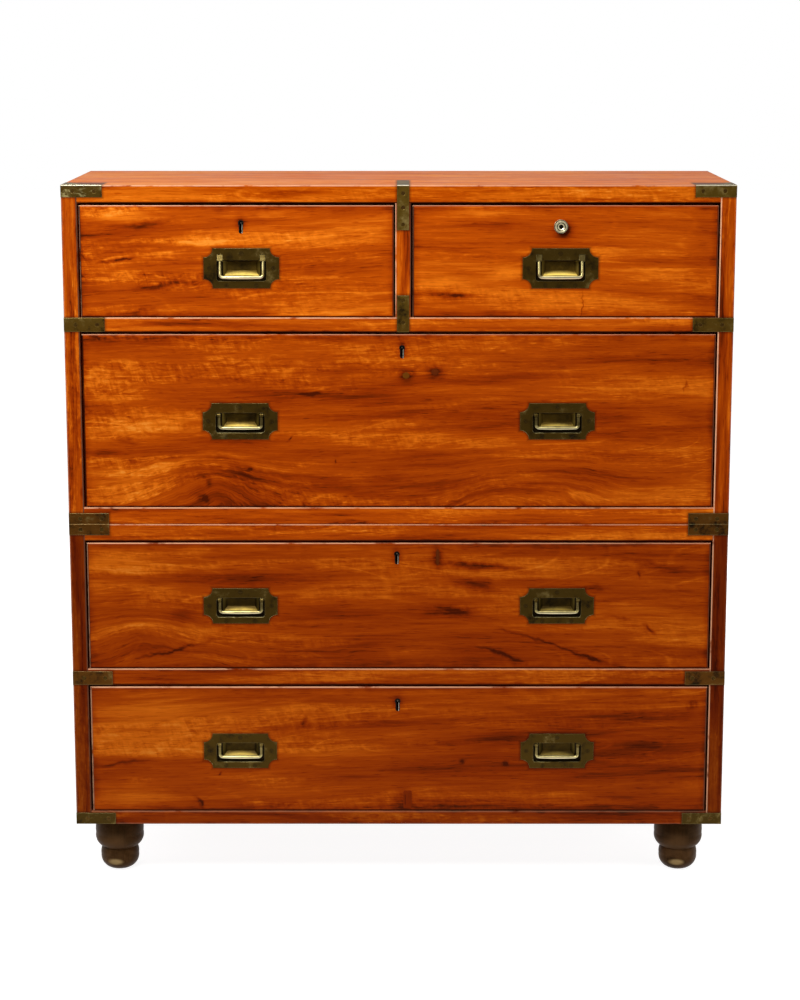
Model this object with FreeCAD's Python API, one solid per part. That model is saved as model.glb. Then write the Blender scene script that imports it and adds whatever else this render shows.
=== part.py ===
"""A two-part campaign chest: two short drawers over one deep and two long ones.

The upper case stands on the lower one and lifts off it. X runs to the right, Y to the back and
Z up, and the origin is on the floor under the middle of the chest. All sizes are in millimetres.
"""
import FreeCAD, Part
import os

Vector = FreeCAD.Vector

# The two cases
case_width = 990.0
case_depth = 360.0
side_thickness = 23.0
foot_height = 88.0
lower_bottom_thickness = 20.5
bottom_opening = 200.5
lower_rail_thickness = 25.0
middle_opening = 198.5
lower_top_thickness = 25.5
upper_bottom_thickness = 25.5
deep_opening = 264.5
upper_rail_thickness = 21.5
short_opening = 168.5
top_thickness = 26.0
rail_depth = 75.0
divider_thickness = 23.0
divider_offset = 6.5
back_thickness = 12.0
back_rebate = 10.0
plank_count = 3
plank_gap = 0.5

# Joints of the cases
case_lap = 9.0
case_tail_count = 6
case_pin_root = 18.0
case_pin_tip = 10.0
tenon_length = 10.0
tenon_thickness = 8.0
tenon_setback = 20.0
tenon_width = 40.0
housing_depth = 5.0
runner_width = 25.0
runner_thickness = 16.0
centre_runner_width = 70.0
guide_height = 12.0
peg_radius = 8.0
peg_rise = 12.0
peg_depth = 14.0
peg_clearance = 0.5
peg_inset = 80.0

# Drawers
side_gap = 2.5
top_gap = 3.5
run_gap = 0.3
front_setback = 1.5
front_thickness = 22.0
front_arris = 1.0
drawer_side_thickness = 11.0
drawer_back_thickness = 10.0
drawer_bottom_thickness = 8.0
drawer_bottom_raise = 11.0
groove_depth = 5.0
drawer_back_clearance = 12.0
side_drop = 4.0
back_drop = 12.0
drawer_lap = 6.0
drawer_tail_pitch = 38.0
drawer_pin_root = 9.0
drawer_pin_tip = 4.0
stop_length = 40.0
stop_depth = 24.0
stop_height = 6.0
stop_inset = 60.0
stop_gap = 0.3

# Brass straps, let in almost flush
brass_thickness = 1.5
brass_proud = 0.3
leaf_length = 60.0
top_corner_height = 17.5
gusset_end = 9.0
upper_rail_strap_height = 20.5
split_strap_height = 16.6
lower_rail_strap_height = 20.7
bottom_corner_height = 17.5
centre_strap_width = 17.5
centre_strap_drop = 65.6
centre_strap_return = 115.0
foot_strap_height = 54.0

# Brass screws
screw_head_radius = 3.1
screw_shank_radius = 1.6
screw_head_depth = 1.6
screw_length = 14.0
screw_tip_length = 4.0
screw_slot_width = 0.8
screw_slot_depth = 0.7
first_screw = 17.0
second_screw = 49.0
gusset_screw_inset = 6.0
gusset_screw_reach = 41.0
centre_top_screw = 12.0
centre_end_screw = 8.0
centre_return_first_screw = 20.0
centre_return_last_screw = 95.0
foot_strap_low_screw = 14.0
foot_strap_high_screw = 7.0

# Flush handles: the plate and its pan
plate_width = 111.0
short_plate_height = 58.5
long_plate_height = 54.0
plate_corner_radius = 13.5
flange_thickness = 2.0
well_half_width = 36.5
well_corner_radius = 4.0
short_well_top = 12.0
short_well_bottom = -19.0
long_well_top = 12.6
long_well_bottom = -17.5
channel_depth = 6.2
pan_wall = 2.2
scoop_side_margin = 8.5
scoop_end_margin = 4.0
scoop_top_margin = 1.0
scoop_slope_side = 7.0
scoop_slope_bottom = 10.5
scoop_slope_top = 3.0
scoop_depth = 13.0
seat_clearance = 0.2
plate_screw_reach = 22.0

# Flush handles: the bail
bail_radius = 2.4
bail_middle_radius = 3.0
bail_half_width = 31.7
bail_corner_radius = 5.0
bail_depth = 2.4
short_pivot = 14.8
short_bail_length = 28.5
short_bail_swing = 14.0
long_pivot = 9.2
long_bail_length = 19.7
knuckle_width = 8.4
knuckle_height = 9.3
knuckle_front = 3.2
knuckle_rear = 2.4
knuckle_side_clearance = 0.3
knuckle_sweep_clearance = 0.6
knuckle_pin_radius = 1.5
knuckle_pin_hold = 3.0
eye_radius = 2.7
eye_width = 5.2
eye_pin_radius = 1.2
bore_clearance = 0.06

# Where the handles sit on the drawer fronts
short_handle_shift = 6.7
short_handle_lowering = 10.0
deep_handle_reach = 236.3
middle_handle_reach = 239.0
bottom_handle_reach = 242.0
bottom_handle_lowering = 3.0
upper_side_handle_rise = 300.0
lower_side_handle_rise = 290.0

# Locks
short_key_drop = 31.0
deep_key_drop = 25.5
middle_key_drop = 22.5
bottom_key_drop = 28.0
deep_key_shift = 4.9
middle_key_shift = -2.8
bottom_key_shift = -1.7
lock_width = 64.0
lock_height = 42.0
lock_depth = 11.0
lock_wall = 1.5
bolt_width = 30.0
bolt_thickness = 4.0
bolt_length = 26.0
bolt_sink = 0.3
bolt_travel = 9.0
bolt_slot_clearance = 0.2
bolt_mortise_clearance = 1.0
talon_width = 10.0
talon_drop = 12.0
key_post_radius = 1.2
key_post_recess = 3.0
keyhole_radius = 2.6
keyhole_rise = 5.2
keyhole_fall = 7.2
keyhole_slot_half = 1.5
liner_wall = 1.7
liner_depth = 6.0
liner_proud = 0.2
nozzle_ring_radius = 10.2
nozzle_ring_depth = 1.0
nozzle_ring_proud = 0.6
nozzle_radius = 8.8
nozzle_proud = 6.5
nozzle_dish_radius = 7.0
nozzle_dish_depth = 1.8
nozzle_slot_height = 6.2
nozzle_slot_width = 4.6

# Turned feet: radii and heights of the profile
foot_inset = 59.0
foot_pad_radius = 12.0
foot_low_bulge_radius = 29.4
foot_low_bulge_share = 0.25
foot_neck_radius = 27.2
foot_neck_share = 0.41
foot_high_bulge_radius = 37.0
foot_high_bulge_share = 0.65
foot_collar_radius = 33.5
foot_collar_height = 4.0
foot_spigot_radius = 15.0
foot_spigot_length = 16.0

# Levels and faces that follow from the sizes above
half_width = case_width / 2
inner = half_width - side_thickness
front = -case_depth / 2
back = case_depth / 2
level_bottom = foot_height
level_bottom_opening = level_bottom + lower_bottom_thickness
level_lower_rail = level_bottom_opening + bottom_opening
level_middle_opening = level_lower_rail + lower_rail_thickness
level_lower_top = level_middle_opening + middle_opening
level_split = level_lower_top + lower_top_thickness
level_deep_opening = level_split + upper_bottom_thickness
level_upper_rail = level_deep_opening + deep_opening
level_short_opening = level_upper_rail + upper_rail_thickness
level_top_board = level_short_opening + short_opening
level_top = level_top_board + top_thickness
divider_left = divider_offset - divider_thickness / 2
divider_right = divider_offset + divider_thickness / 2
case_pins = (case_pin_root, case_pin_tip)
drawer_pins = (drawer_pin_root, drawer_pin_tip)
hands = (-1, 1)


# ---------------------------------------------------------------- shapes

def box(x, y, z):
    """A block from its (low, high) ranges."""
    return Part.makeBox(x[1] - x[0], y[1] - y[0], z[1] - z[0], Vector(x[0], y[0], z[0]))


def span(hand, near, far):
    """An X range on one side of the middle: hand is -1 on the left and 1 on the right."""
    return (near, far) if hand > 0 else (-far, -near)


def around(middle, width):
    """A range about a middle."""
    return (middle - width / 2, middle + width / 2)


def rod(radius, start, end):
    """A round bar between two points."""
    return Part.makeCylinder(radius, (end - start).Length, start, end - start)


def prism(points, push):
    """A flat outline pushed along a vector."""
    return Part.Face(Part.makePolygon(points + points[:1])).extrude(push)


def joined(shapes):
    """One solid from shapes that touch or overlap."""
    return shapes[0].multiFuse(shapes[1:]).removeSplitter()


def cut(shape, tools):
    """A shape without the tools that reach it."""
    near = [tool for tool in tools if shape.BoundBox.intersect(tool.BoundBox)]
    return shape.cut(near) if near else shape


def placed(shape, at, turn=0.0):
    """A copy turned about the vertical through the origin, then moved to a point."""
    copy = shape.copy()
    copy.rotate(Vector(0, 0, 0), Vector(0, 0, 1), turn)
    copy.translate(at)
    return copy


def aimed(shape, at, way):
    """A copy of a shape drawn along Z, started at a point and pointing another way."""
    copy = shape.copy()
    copy.Placement = FreeCAD.Placement(at, FreeCAD.Rotation(Vector(0, 0, 1), way))
    return copy


def hopper(x_mouth, z_mouth, y_mouth, x_floor, z_floor, y_floor):
    """A tapered hollow between two upright rectangles."""
    wires = []
    for x, z, y in ((x_mouth, z_mouth, y_mouth), (x_floor, z_floor, y_floor)):
        corners = [(x[0], z[0]), (x[1], z[0]), (x[1], z[1]), (x[0], z[1]), (x[0], z[0])]
        wires.append(Part.makePolygon([Vector(a, y, b) for a, b in corners]))
    return Part.makeLoft(wires, True, True)


def wedges(x, run, root, tip, widths, count, first, upright):
    """Dovetail pins along a run, narrowing from root to tip.

    An upright joint repeats along Z and its pins point along Y; the other kind repeats along Y.
    """
    pitch = (run[1] - run[0]) / count
    shapes = []
    for step in range(first, count + 1 - first):
        middle = run[0] + step * pitch
        wide, narrow = around(middle, widths[0]), around(middle, widths[1])
        outline = [(wide[0], root), (wide[1], root), (narrow[1], tip), (narrow[0], tip)]
        points = [Vector(x[0], t, s) if upright else Vector(x[0], s, t) for s, t in outline]
        shapes.append(prism(points, Vector(x[1] - x[0], 0, 0)))
    return shapes


# ---------------------------------------------------------------- screws

def screw_blank():
    """A countersunk wood screw along Z with its head at the origin, before the slot is cut."""
    tip_start = screw_length - screw_tip_length
    head = Part.makeCone(screw_head_radius, screw_shank_radius, screw_head_depth)
    shank = rod(screw_shank_radius, Vector(0, 0, screw_head_depth), Vector(0, 0, tip_start))
    tip = Part.makeCone(screw_shank_radius, screw_shank_radius / 8, screw_tip_length,
                        Vector(0, 0, tip_start))
    return joined([head, shank, tip])


def screw(turn):
    """The finished screw, with its slot at an angle."""
    reach = 2 * screw_head_radius
    slot = box(around(0, reach), around(0, screw_slot_width), (0, screw_slot_depth))
    slot.rotate(Vector(0, 0, 0), Vector(0, 0, 1), turn)
    return screw_blank().cut(slot)


class Screws:
    """Screws of one group: where each head sits and which way it is driven."""

    def __init__(self):
        self.solids = []
        self.blanks = []

    def add(self, at, way):
        turn = 37.0 * len(self.solids)
        self.solids.append(aimed(screw(turn), at, way))
        self.blanks.append(aimed(screw_blank(), at, way))


# ---------------------------------------------------------------- flush handles

class Handle:
    """A flush pull: a flanged pan let into the wood and a bail that folds into it.

    It is drawn about its plate's centre, with X along the plate and Y going into the wood.
    """

    def __init__(self, knuckled):
        self.knuckled = knuckled
        if knuckled:
            self.height, self.top, self.bottom = short_plate_height, short_well_top, short_well_bottom
            self.pivot, self.length, self.swing = short_pivot, short_bail_length, short_bail_swing
            self.pin_radius, self.pin_hold = knuckle_pin_radius, knuckle_pin_hold
        else:
            self.height, self.top, self.bottom = long_plate_height, long_well_top, long_well_bottom
            self.pivot, self.length, self.swing = long_pivot, long_bail_length, 0.0
            self.pin_radius, self.pin_hold = eye_pin_radius, pan_wall
        self.sweep = ((knuckle_height / 2) ** 2 + knuckle_front ** 2) ** 0.5 + knuckle_sweep_clearance
        self.pin = around(0, knuckle_width + 2 * knuckle_side_clearance + 2 * self.pin_hold)

    def screw_places(self):
        """Head centres on the plate: three round the pan and one on each ear."""
        ear = (plate_width / 2 + well_half_width + pan_wall) / 2
        low = (self.bottom - pan_wall - self.height / 2) / 2
        high = (self.top + pan_wall + self.height / 2) / 2
        return [(0, high), (-ear, 0), (ear, 0), (-plate_screw_reach, low), (plate_screw_reach, low)]

    def bosses(self, grow):
        """Blocks behind the flange that hold the knuckle pins."""
        reach = self.sweep + pan_wall + grow
        blocks = []
        for hand in hands:
            middle = hand * bail_half_width
            width = self.pin[1] - self.pin[0] + 2 * grow
            blocks.append(box(around(middle, width), (0, bail_depth + reach),
                              (self.top, self.pivot + reach)))
        return blocks

    def pan(self, grow):
        """The outside of the pan, grown by a clearance where it is cut from the wood."""
        wall = pan_wall + grow
        x = around(0, 2 * (well_half_width + wall))
        channel = box(x, (0, channel_depth + wall), (self.bottom - wall, self.top + wall))
        scoop = box(around(0, 2 * (well_half_width - scoop_side_margin + wall)),
                    (0, scoop_depth + wall),
                    (self.bottom + scoop_end_margin - wall, self.top - scoop_top_margin + wall))
        return [channel, scoop] + (self.bosses(grow) if self.knuckled else [])

    def flange(self):
        """The plate's face, with a hollow quarter circle out of each corner."""
        y = (-brass_proud, flange_thickness - brass_proud)
        blank = box(around(0, plate_width), y, around(0, self.height))
        corners = []
        for x in around(0, plate_width):
            for z in around(0, self.height):
                corners.append(rod(plate_corner_radius, Vector(x, y[0], z), Vector(x, y[1], z)))
        return blank.cut(corners)

    def well(self):
        """The hollow that holds the bail, with the deeper scoop for the fingers behind it."""
        mouth = box(around(0, 2 * well_half_width), (-brass_proud, channel_depth), (self.bottom, self.top))
        deep_edges = [edge for edge in mouth.Edges if edge.tangentAt(edge.FirstParameter).y ** 2 > 0.5]
        mouth = mouth.makeFillet(well_corner_radius, deep_edges)
        half = well_half_width - scoop_side_margin
        low, high = self.bottom + scoop_end_margin, self.top - scoop_top_margin
        scoop = hopper((-half, half), (low, high), channel_depth,
                       (scoop_slope_side - half, half - scoop_slope_side),
                       (low + scoop_slope_bottom, high - scoop_slope_top), scoop_depth)
        return joined([mouth, scoop])

    def pockets(self):
        """Round slots in which the knuckles turn."""
        width = knuckle_width + 2 * knuckle_side_clearance
        return [rod(self.sweep, Vector(x[0], bail_depth, self.pivot), Vector(x[1], bail_depth, self.pivot))
                for x in (around(hand * bail_half_width, width) for hand in hands)]

    def pins(self):
        """The two pivot pins."""
        solids = []
        for hand in hands:
            if self.knuckled:
                ends = [hand * bail_half_width + end for end in self.pin]
            else:
                ends = [hand * (bail_half_width - eye_width / 2), hand * (well_half_width + self.pin_hold)]
            start, end = [Vector(x, bail_depth, self.pivot) for x in ends]
            solids.append(rod(self.pin_radius, start, end))
        return solids

    def plate(self, blanks):
        """The cast plate, drilled for its pins and screws."""
        body = joined([self.flange()] + self.pan(0))
        body = body.cut([self.well()] + (self.pockets() if self.knuckled else []))
        return body.cut(self.pins() + blanks)

    def bail(self):
        """The swinging handle, at its rest angle."""
        bar = self.pivot - self.length
        corner = bail_corner_radius
        half = bail_half_width - corner
        shapes = [self.bar(half, bar)]
        for hand in hands:
            x = hand * bail_half_width
            start = Vector(x, bail_depth, bar + corner)
            shapes.append(rod(bail_radius, start, Vector(x, bail_depth, self.pivot)))
            ring = Part.Face(Part.Wire(Part.Circle(start, Vector(0, 0, 1), bail_radius).toShape()))
            hub = Vector(hand * half, bail_depth, bar + corner)
            shapes.append(ring.revolve(hub, Vector(0, hand, 0), 90))
            shapes.append(self.knuckle(x) if self.knuckled else self.eye(x))
        body = joined(shapes)
        bores = [rod(self.pin_radius + bore_clearance, Vector(x - knuckle_width, bail_depth, self.pivot),
                     Vector(x + knuckle_width, bail_depth, self.pivot))
                 for x in (-bail_half_width, bail_half_width)]
        body = body.cut(bores)
        body.rotate(Vector(0, bail_depth, self.pivot), Vector(-1, 0, 0), self.swing)
        return body

    def bar(self, half, level):
        """The grip, a little fuller in its middle."""
        ends = [Vector(-half, bail_depth, level + bail_radius), Vector(half, bail_depth, level + bail_radius)]
        swell = Part.Arc(ends[0], Vector(0, bail_depth, level + bail_middle_radius), ends[1]).toShape()
        axis = [Vector(half, bail_depth, level), Vector(-half, bail_depth, level)]
        outline = Part.Wire([swell] + Part.makePolygon([ends[1]] + axis + [ends[0]]).Edges)
        return Part.Face(outline).revolve(axis[1], Vector(1, 0, 0), 360)

    def knuckle(self, x):
        """A square knuckle round the pivot."""
        return box(around(x, knuckle_width), (bail_depth - knuckle_front, bail_depth + knuckle_rear),
                   around(self.pivot, knuckle_height))

    def eye(self, x):
        """A round eye at the end of an arm."""
        low, high = around(x, eye_width)
        return rod(eye_radius, Vector(low, bail_depth, self.pivot), Vector(high, bail_depth, self.pivot))

    def fitted(self, at, turn=0.0):
        """Everything of one handle in its place: plate, pins, bail, screws and the wood's seat."""
        screws = Screws()
        for x, z in self.screw_places():
            screws.add(Vector(x, -brass_proud, z), Vector(0, 1, 0))
        seat = [self.flange()] + self.pan(seat_clearance) + screws.blanks
        groups = ([self.plate(screws.blanks)], self.pins(), [self.bail()], screws.solids, seat)
        return [[placed(shape, at, turn) for shape in group] for group in groups]


# ---------------------------------------------------------------- locks

def keyhole(grow, y):
    """A keyhole's outline pushed through the wood, grown by a wall."""
    high, low = Vector(0, y[0], keyhole_rise), Vector(0, y[0], -keyhole_fall)
    push = Vector(0, y[1] - y[0], 0)
    slot_half = keyhole_slot_half + grow
    slot = box(around(0, 2 * slot_half), y, (-keyhole_fall, keyhole_rise))
    return joined([rod(keyhole_radius + grow, high, high + push), rod(slot_half, low, low + push), slot])


def nozzle_slot(y):
    """The round-ended key slot of a barrel lock."""
    push = Vector(0, y[1] - y[0], 0)
    straight = around(0, nozzle_slot_height - nozzle_slot_width)
    ends = [Vector(0, y[0], z) for z in straight]
    slot = box(around(0, nozzle_slot_width), y, straight)
    return joined([rod(nozzle_slot_width / 2, end, end + push) for end in ends] + [slot])


class Lock:
    """A drawer lock, drawn about its key with Y going into the wood from the front's face."""

    def __init__(self, drop, barrel):
        self.drop = drop
        self.barrel = barrel
        self.case_front = front_thickness - lock_depth
        self.bolt_y = around(front_thickness - lock_depth / 2, bolt_thickness)

    def outside(self):
        return box(around(0, lock_width), (self.case_front, front_thickness),
                   (self.drop - lock_height, self.drop))

    def key_way(self, y):
        return nozzle_slot(y) if self.barrel else keyhole(0, y)

    def case(self):
        """The brass case, hollow for the bolt and open at the key and at the bolt's slot."""
        hollow = box(around(0, lock_width - 2 * lock_wall),
                     (self.case_front + lock_wall, front_thickness - lock_wall),
                     (self.drop - lock_height + lock_wall, self.drop - lock_wall))
        slot = box(around(0, bolt_width + 2 * bolt_slot_clearance),
                   (self.bolt_y[0] - bolt_slot_clearance, self.bolt_y[1] + bolt_slot_clearance),
                   (self.drop - 2 * lock_wall, self.drop))
        key_way = self.key_way((self.case_front, self.case_front + 2 * lock_wall))
        return self.outside().cut([hollow, slot, key_way])

    def post(self):
        """The post that the hollow key fits over."""
        level = 0.0 if self.barrel else keyhole_rise
        return rod(key_post_radius, Vector(0, key_post_recess, level),
                   Vector(0, front_thickness - lock_wall, level))

    def bolt(self):
        """The bolt, with the notch that the key's bit works in."""
        top = self.drop - bolt_sink
        blank = box(around(0, bolt_width), self.bolt_y, (top - bolt_length, top))
        talon = box(around(0, talon_width), self.bolt_y, (top - bolt_length, self.drop - talon_drop))
        return blank.cut(talon)

    def trim(self):
        """The keyhole's brass liner, or the barrel lock's round nozzle."""
        if self.barrel:
            return self.nozzle_body().cut([nozzle_slot((-nozzle_proud, self.case_front)), self.dish()])
        return self.trim_blank()[0].cut(keyhole(0, (-liner_proud, liner_depth)))

    def nozzle_body(self):
        ring = rod(nozzle_ring_radius, Vector(0, -nozzle_ring_proud, 0), Vector(0, nozzle_ring_depth, 0))
        barrel = rod(nozzle_radius, Vector(0, -nozzle_proud, 0), Vector(0, self.case_front, 0))
        return joined([ring, barrel])

    def dish(self):
        """The hollow in the nozzle's end."""
        cone = Part.makeCone(nozzle_dish_radius, nozzle_dish_radius / 2, nozzle_dish_depth)
        return aimed(cone, Vector(0, -nozzle_proud, 0), Vector(0, 1, 0))

    def trim_blank(self):
        """What the trim takes out of the wood."""
        if self.barrel:
            return [self.nozzle_body()]
        return [keyhole(liner_wall, (-liner_proud, liner_depth)), keyhole(0, (0, self.case_front))]

    def fitted(self, at):
        """Brass, bolt and the wood's seat, in their place."""
        brass = [self.case(), self.post(), self.trim()]
        groups = (brass, [self.bolt()], [self.outside()] + self.trim_blank())
        return [[placed(shape, at) for shape in group] for group in groups]


# ---------------------------------------------------------------- drawers

class Drawer:
    """One drawer, worked out from the opening that it fills."""

    def __init__(self, name, opening, lowering, handle_places, key_shift, key_drop, knuckled, barrel):
        self.name = name
        self.left, self.right = opening[0] + side_gap, opening[1] - side_gap
        self.low, self.high = opening[2] + run_gap, opening[3] - top_gap
        self.face = front + front_setback
        self.inside = self.face + front_thickness
        self.rear = back - back_thickness - drawer_back_clearance
        self.middle = (self.left + self.right) / 2
        self.panel_low = self.low + drawer_bottom_raise
        self.panel_high = self.panel_low + drawer_bottom_thickness
        self.handle = Handle(knuckled)
        handle_level = (self.low + self.high) / 2 - lowering
        self.handle_places = [(side, Vector(self.middle + shift, self.face, handle_level))
                              for side, shift in handle_places]
        self.lock = Lock(key_drop, barrel)
        self.key_place = Vector(self.middle + key_shift, self.face, self.high - key_drop)

    def panel(self):
        """The bottom, held in grooves at the front and sides and running under the back."""
        reach = drawer_side_thickness - groove_depth
        return box((self.left + reach, self.right - reach), (self.inside - groove_depth, self.rear),
                   (self.panel_low, self.panel_high))

    def side_blank(self, hand):
        """A side with its front dovetails."""
        outer = self.right if hand > 0 else -self.left
        x = span(hand, outer - drawer_side_thickness, outer)
        z = (self.low, self.high - side_drop)
        count = max(2, round((z[1] - z[0]) / drawer_tail_pitch))
        tip = self.face + drawer_lap
        tails = box(x, (tip, self.inside), z)
        tails = tails.cut(wedges(x, z, self.inside, tip, drawer_pins, count, 0, True))
        return joined([box(x, (self.inside, self.rear), z), tails])

    def back_board(self):
        """The back, with pins that show between the sides' tails."""
        z = (self.panel_high, self.high - back_drop)
        root = self.rear - drawer_back_thickness
        count = max(2, round((z[1] - z[0]) / drawer_tail_pitch))
        board = box((self.left, self.right), (root, self.rear), z)
        tails = []
        for hand in hands:
            outer = self.right if hand > 0 else -self.left
            x = span(hand, outer - drawer_side_thickness, outer)
            block = box(x, (root, self.rear), z)
            tails.append(block.cut(wedges(x, z, root, self.rear, drawer_pins, count, 0, True)))
        return board.cut(tails)

    def front_blank(self):
        """The front with its face edges rounded off."""
        slab = box((self.left, self.right), (self.face, self.inside), (self.low, self.high))
        edges = [edge for edge in slab.Edges if edge.BoundBox.YMax < self.face + front_arris]
        return slab.makeFillet(front_arris, edges)

    def build(self, parts):
        """Add every node of this drawer to the parts."""
        panel, rear_board = self.panel(), self.back_board()
        sides = [self.side_blank(hand) for hand in hands]
        lock_brass, bolt, lock_seat = self.lock.fitted(self.key_place)
        brass, seats = list(lock_brass), list(lock_seat)
        for side, at in self.handle_places:
            plate, pins, bail, screws, seat = self.handle.fitted(at)
            brass += plate + pins + screws
            seats += seat
            parts[self.name + side + "_bail"] = bail
        parts[self.name + "_front"] = [cut(self.front_blank(), sides + [panel] + seats)]
        parts[self.name + "_box"] = [side.cut([rear_board, panel]) for side in sides] + [rear_board]
        parts[self.name + "_bottom"] = [panel]
        parts[self.name + "_brass"] = brass
        parts[self.name + "_lock_bolt"] = bolt

    def bolt_mortise(self):
        """The hole above the opening that the bolt shoots into."""
        ceiling = self.high + top_gap
        y = self.lock.bolt_y
        return box(around(self.key_place.x, bolt_width + 2 * bolt_mortise_clearance),
                   (self.face + y[0] - bolt_mortise_clearance, self.face + y[1] + bolt_mortise_clearance),
                   (ceiling, ceiling + bolt_travel))


def all_drawers():
    """The five drawers, from the top down."""
    pair = (("_left", -1), ("_right", 1))
    full = (-inner, inner)
    rows = [
        ("deep_drawer", level_deep_opening, level_upper_rail, deep_handle_reach, 0.0,
         deep_key_shift, deep_key_drop),
        ("middle_drawer", level_middle_opening, level_lower_top, middle_handle_reach, 0.0,
         middle_key_shift, middle_key_drop),
        ("bottom_drawer", level_bottom_opening, level_lower_rail, bottom_handle_reach,
         bottom_handle_lowering, bottom_key_shift, bottom_key_drop),
    ]
    drawers = []
    for name, x, shift, barrel in (("short_left_drawer", (-inner, divider_left), short_handle_shift, False),
                                   ("short_right_drawer", (divider_right, inner), -short_handle_shift, True)):
        opening = x + (level_short_opening, level_top_board)
        drawers.append(Drawer(name, opening, short_handle_lowering, [("", shift)], shift,
                              short_key_drop, True, barrel))
    for name, low, high, reach, lowering, key_shift, key_drop in rows:
        places = [(side, sign * reach) for side, sign in pair]
        drawers.append(Drawer(name, full + (low, high), lowering, places, key_shift, key_drop, False, False))
    return drawers


# ---------------------------------------------------------------- cases

def case_side(hand, low, high, low_board, high_board):
    """One side of a case, with dovetails into the boards below and above it."""
    x = span(hand, inner, half_width)
    y = (front, back)
    shapes = [box(x, y, (low + low_board, high - high_board))]
    for root, tip in ((low + low_board, low + case_lap), (high - high_board, high - case_lap)):
        block = box(x, y, (min(root, tip), max(root, tip)))
        shapes.append(block.cut(wedges(x, y, root, tip, case_pins, case_tail_count, 1, False)))
    return joined(shapes)


def back_planks(low, high):
    """The back: upright planks in a rebate all round."""
    reach = inner + back_rebate
    width = 2 * reach / plank_count
    planks = []
    for step in range(plank_count):
        left = -reach + step * width
        trim = plank_gap if step else 0.0
        planks.append(box((left + trim, left + width), (back - back_thickness, back),
                          (low - back_rebate, high + back_rebate)))
    return planks


def back_space(low, high):
    """The whole rebate that the planks fill."""
    reach = inner + back_rebate
    return box((-reach, reach), (back - back_thickness, back), (low - back_rebate, high + back_rebate))


def front_rail(low, high):
    """A rail across the front, tenoned into both sides."""
    level = (low + high) / 2
    body = box((-inner, inner), (front, front + rail_depth), (low, high))
    tenon = box(around(0, 2 * (inner + tenon_length)),
                (front + tenon_setback, front + tenon_setback + tenon_width), around(level, tenon_thickness))
    return joined([body, tenon])


def side_runner(hand, top):
    """A runner housed in a side behind its rail."""
    return box(span(hand, inner - runner_width, inner + housing_depth),
               (front + rail_depth, back - back_thickness), (top - runner_thickness, top))


def centre_runner():
    """The runner between the short drawers, tenoned into the rail, with its guide strip."""
    y = (front + rail_depth, back - back_thickness)
    body = box(around(divider_offset, centre_runner_width), y,
               (level_short_opening - runner_thickness, level_short_opening))
    tenon = box(around(divider_offset, centre_runner_width - runner_width),
                (front + rail_depth - tenon_length, front + rail_depth),
                around(level_short_opening - runner_thickness / 2, tenon_thickness))
    guide = box((divider_left, divider_right), y, (level_short_opening, level_short_opening + guide_height))
    return joined([body, tenon]), guide


def divider():
    """The upright between the short drawers, with a stub tenon at each end."""
    body = box((divider_left, divider_right), (front, front + rail_depth),
               (level_short_opening, level_top_board))
    tenon = box(around(divider_offset, tenon_thickness),
                (front + tenon_setback, front + tenon_setback + tenon_width),
                (level_short_opening - tenon_length, level_top_board + tenon_length))
    return joined([body, tenon])


def stops(drawer):
    """The two blocks behind a front that stop the drawer."""
    start = drawer.inside + stop_gap
    level = drawer.low - run_gap
    return [box(around(x, stop_length), (start, start + stop_depth), (level, level + stop_height))
            for x in (drawer.left + stop_inset, drawer.right - stop_inset)]


def swell(narrow, wide):
    """A round stretch of a turning between its narrow and its wide (radius, height) points."""
    lean = 0.5 ** 0.5
    middle = (narrow[0] + (wide[0] - narrow[0]) * lean, wide[1] + (narrow[1] - wide[1]) * lean)
    return Part.Arc(*[Vector(radius, 0, level) for radius, level in (narrow, middle, wide)]).toShape()


def foot(x, y):
    """A turned foot with two bulges, and the spigot that screws into the bottom board."""
    low = (foot_low_bulge_radius, foot_low_bulge_share * foot_height)
    neck = (foot_neck_radius, foot_neck_share * foot_height)
    high = (foot_high_bulge_radius, foot_high_bulge_share * foot_height)
    shoulder = (foot_collar_radius, foot_height - foot_collar_height)
    pad = (foot_pad_radius, 0)
    top = foot_height + foot_spigot_length
    edges = [swell(pad, low), swell(neck, low), swell(neck, high), swell(shoulder, high)]
    closing = [shoulder, (foot_collar_radius, foot_height), (foot_spigot_radius, foot_height),
               (foot_spigot_radius, top), (0, top), (0, 0), pad]
    edges += Part.makePolygon([Vector(r, 0, z) for r, z in closing]).Edges
    turned = Part.Face(Part.Wire(edges)).revolve(Vector(0, 0, 0), Vector(0, 0, 1), 360)
    turned.translate(Vector(x, y, 0))
    return turned


def four_corners(inset_x, inset_y):
    """Points the same way in from all four corners of the case."""
    return [(x, y) for x in (inset_x - half_width, half_width - inset_x)
            for y in (front + inset_y, back - inset_y)]


# ---------------------------------------------------------------- straps

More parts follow.
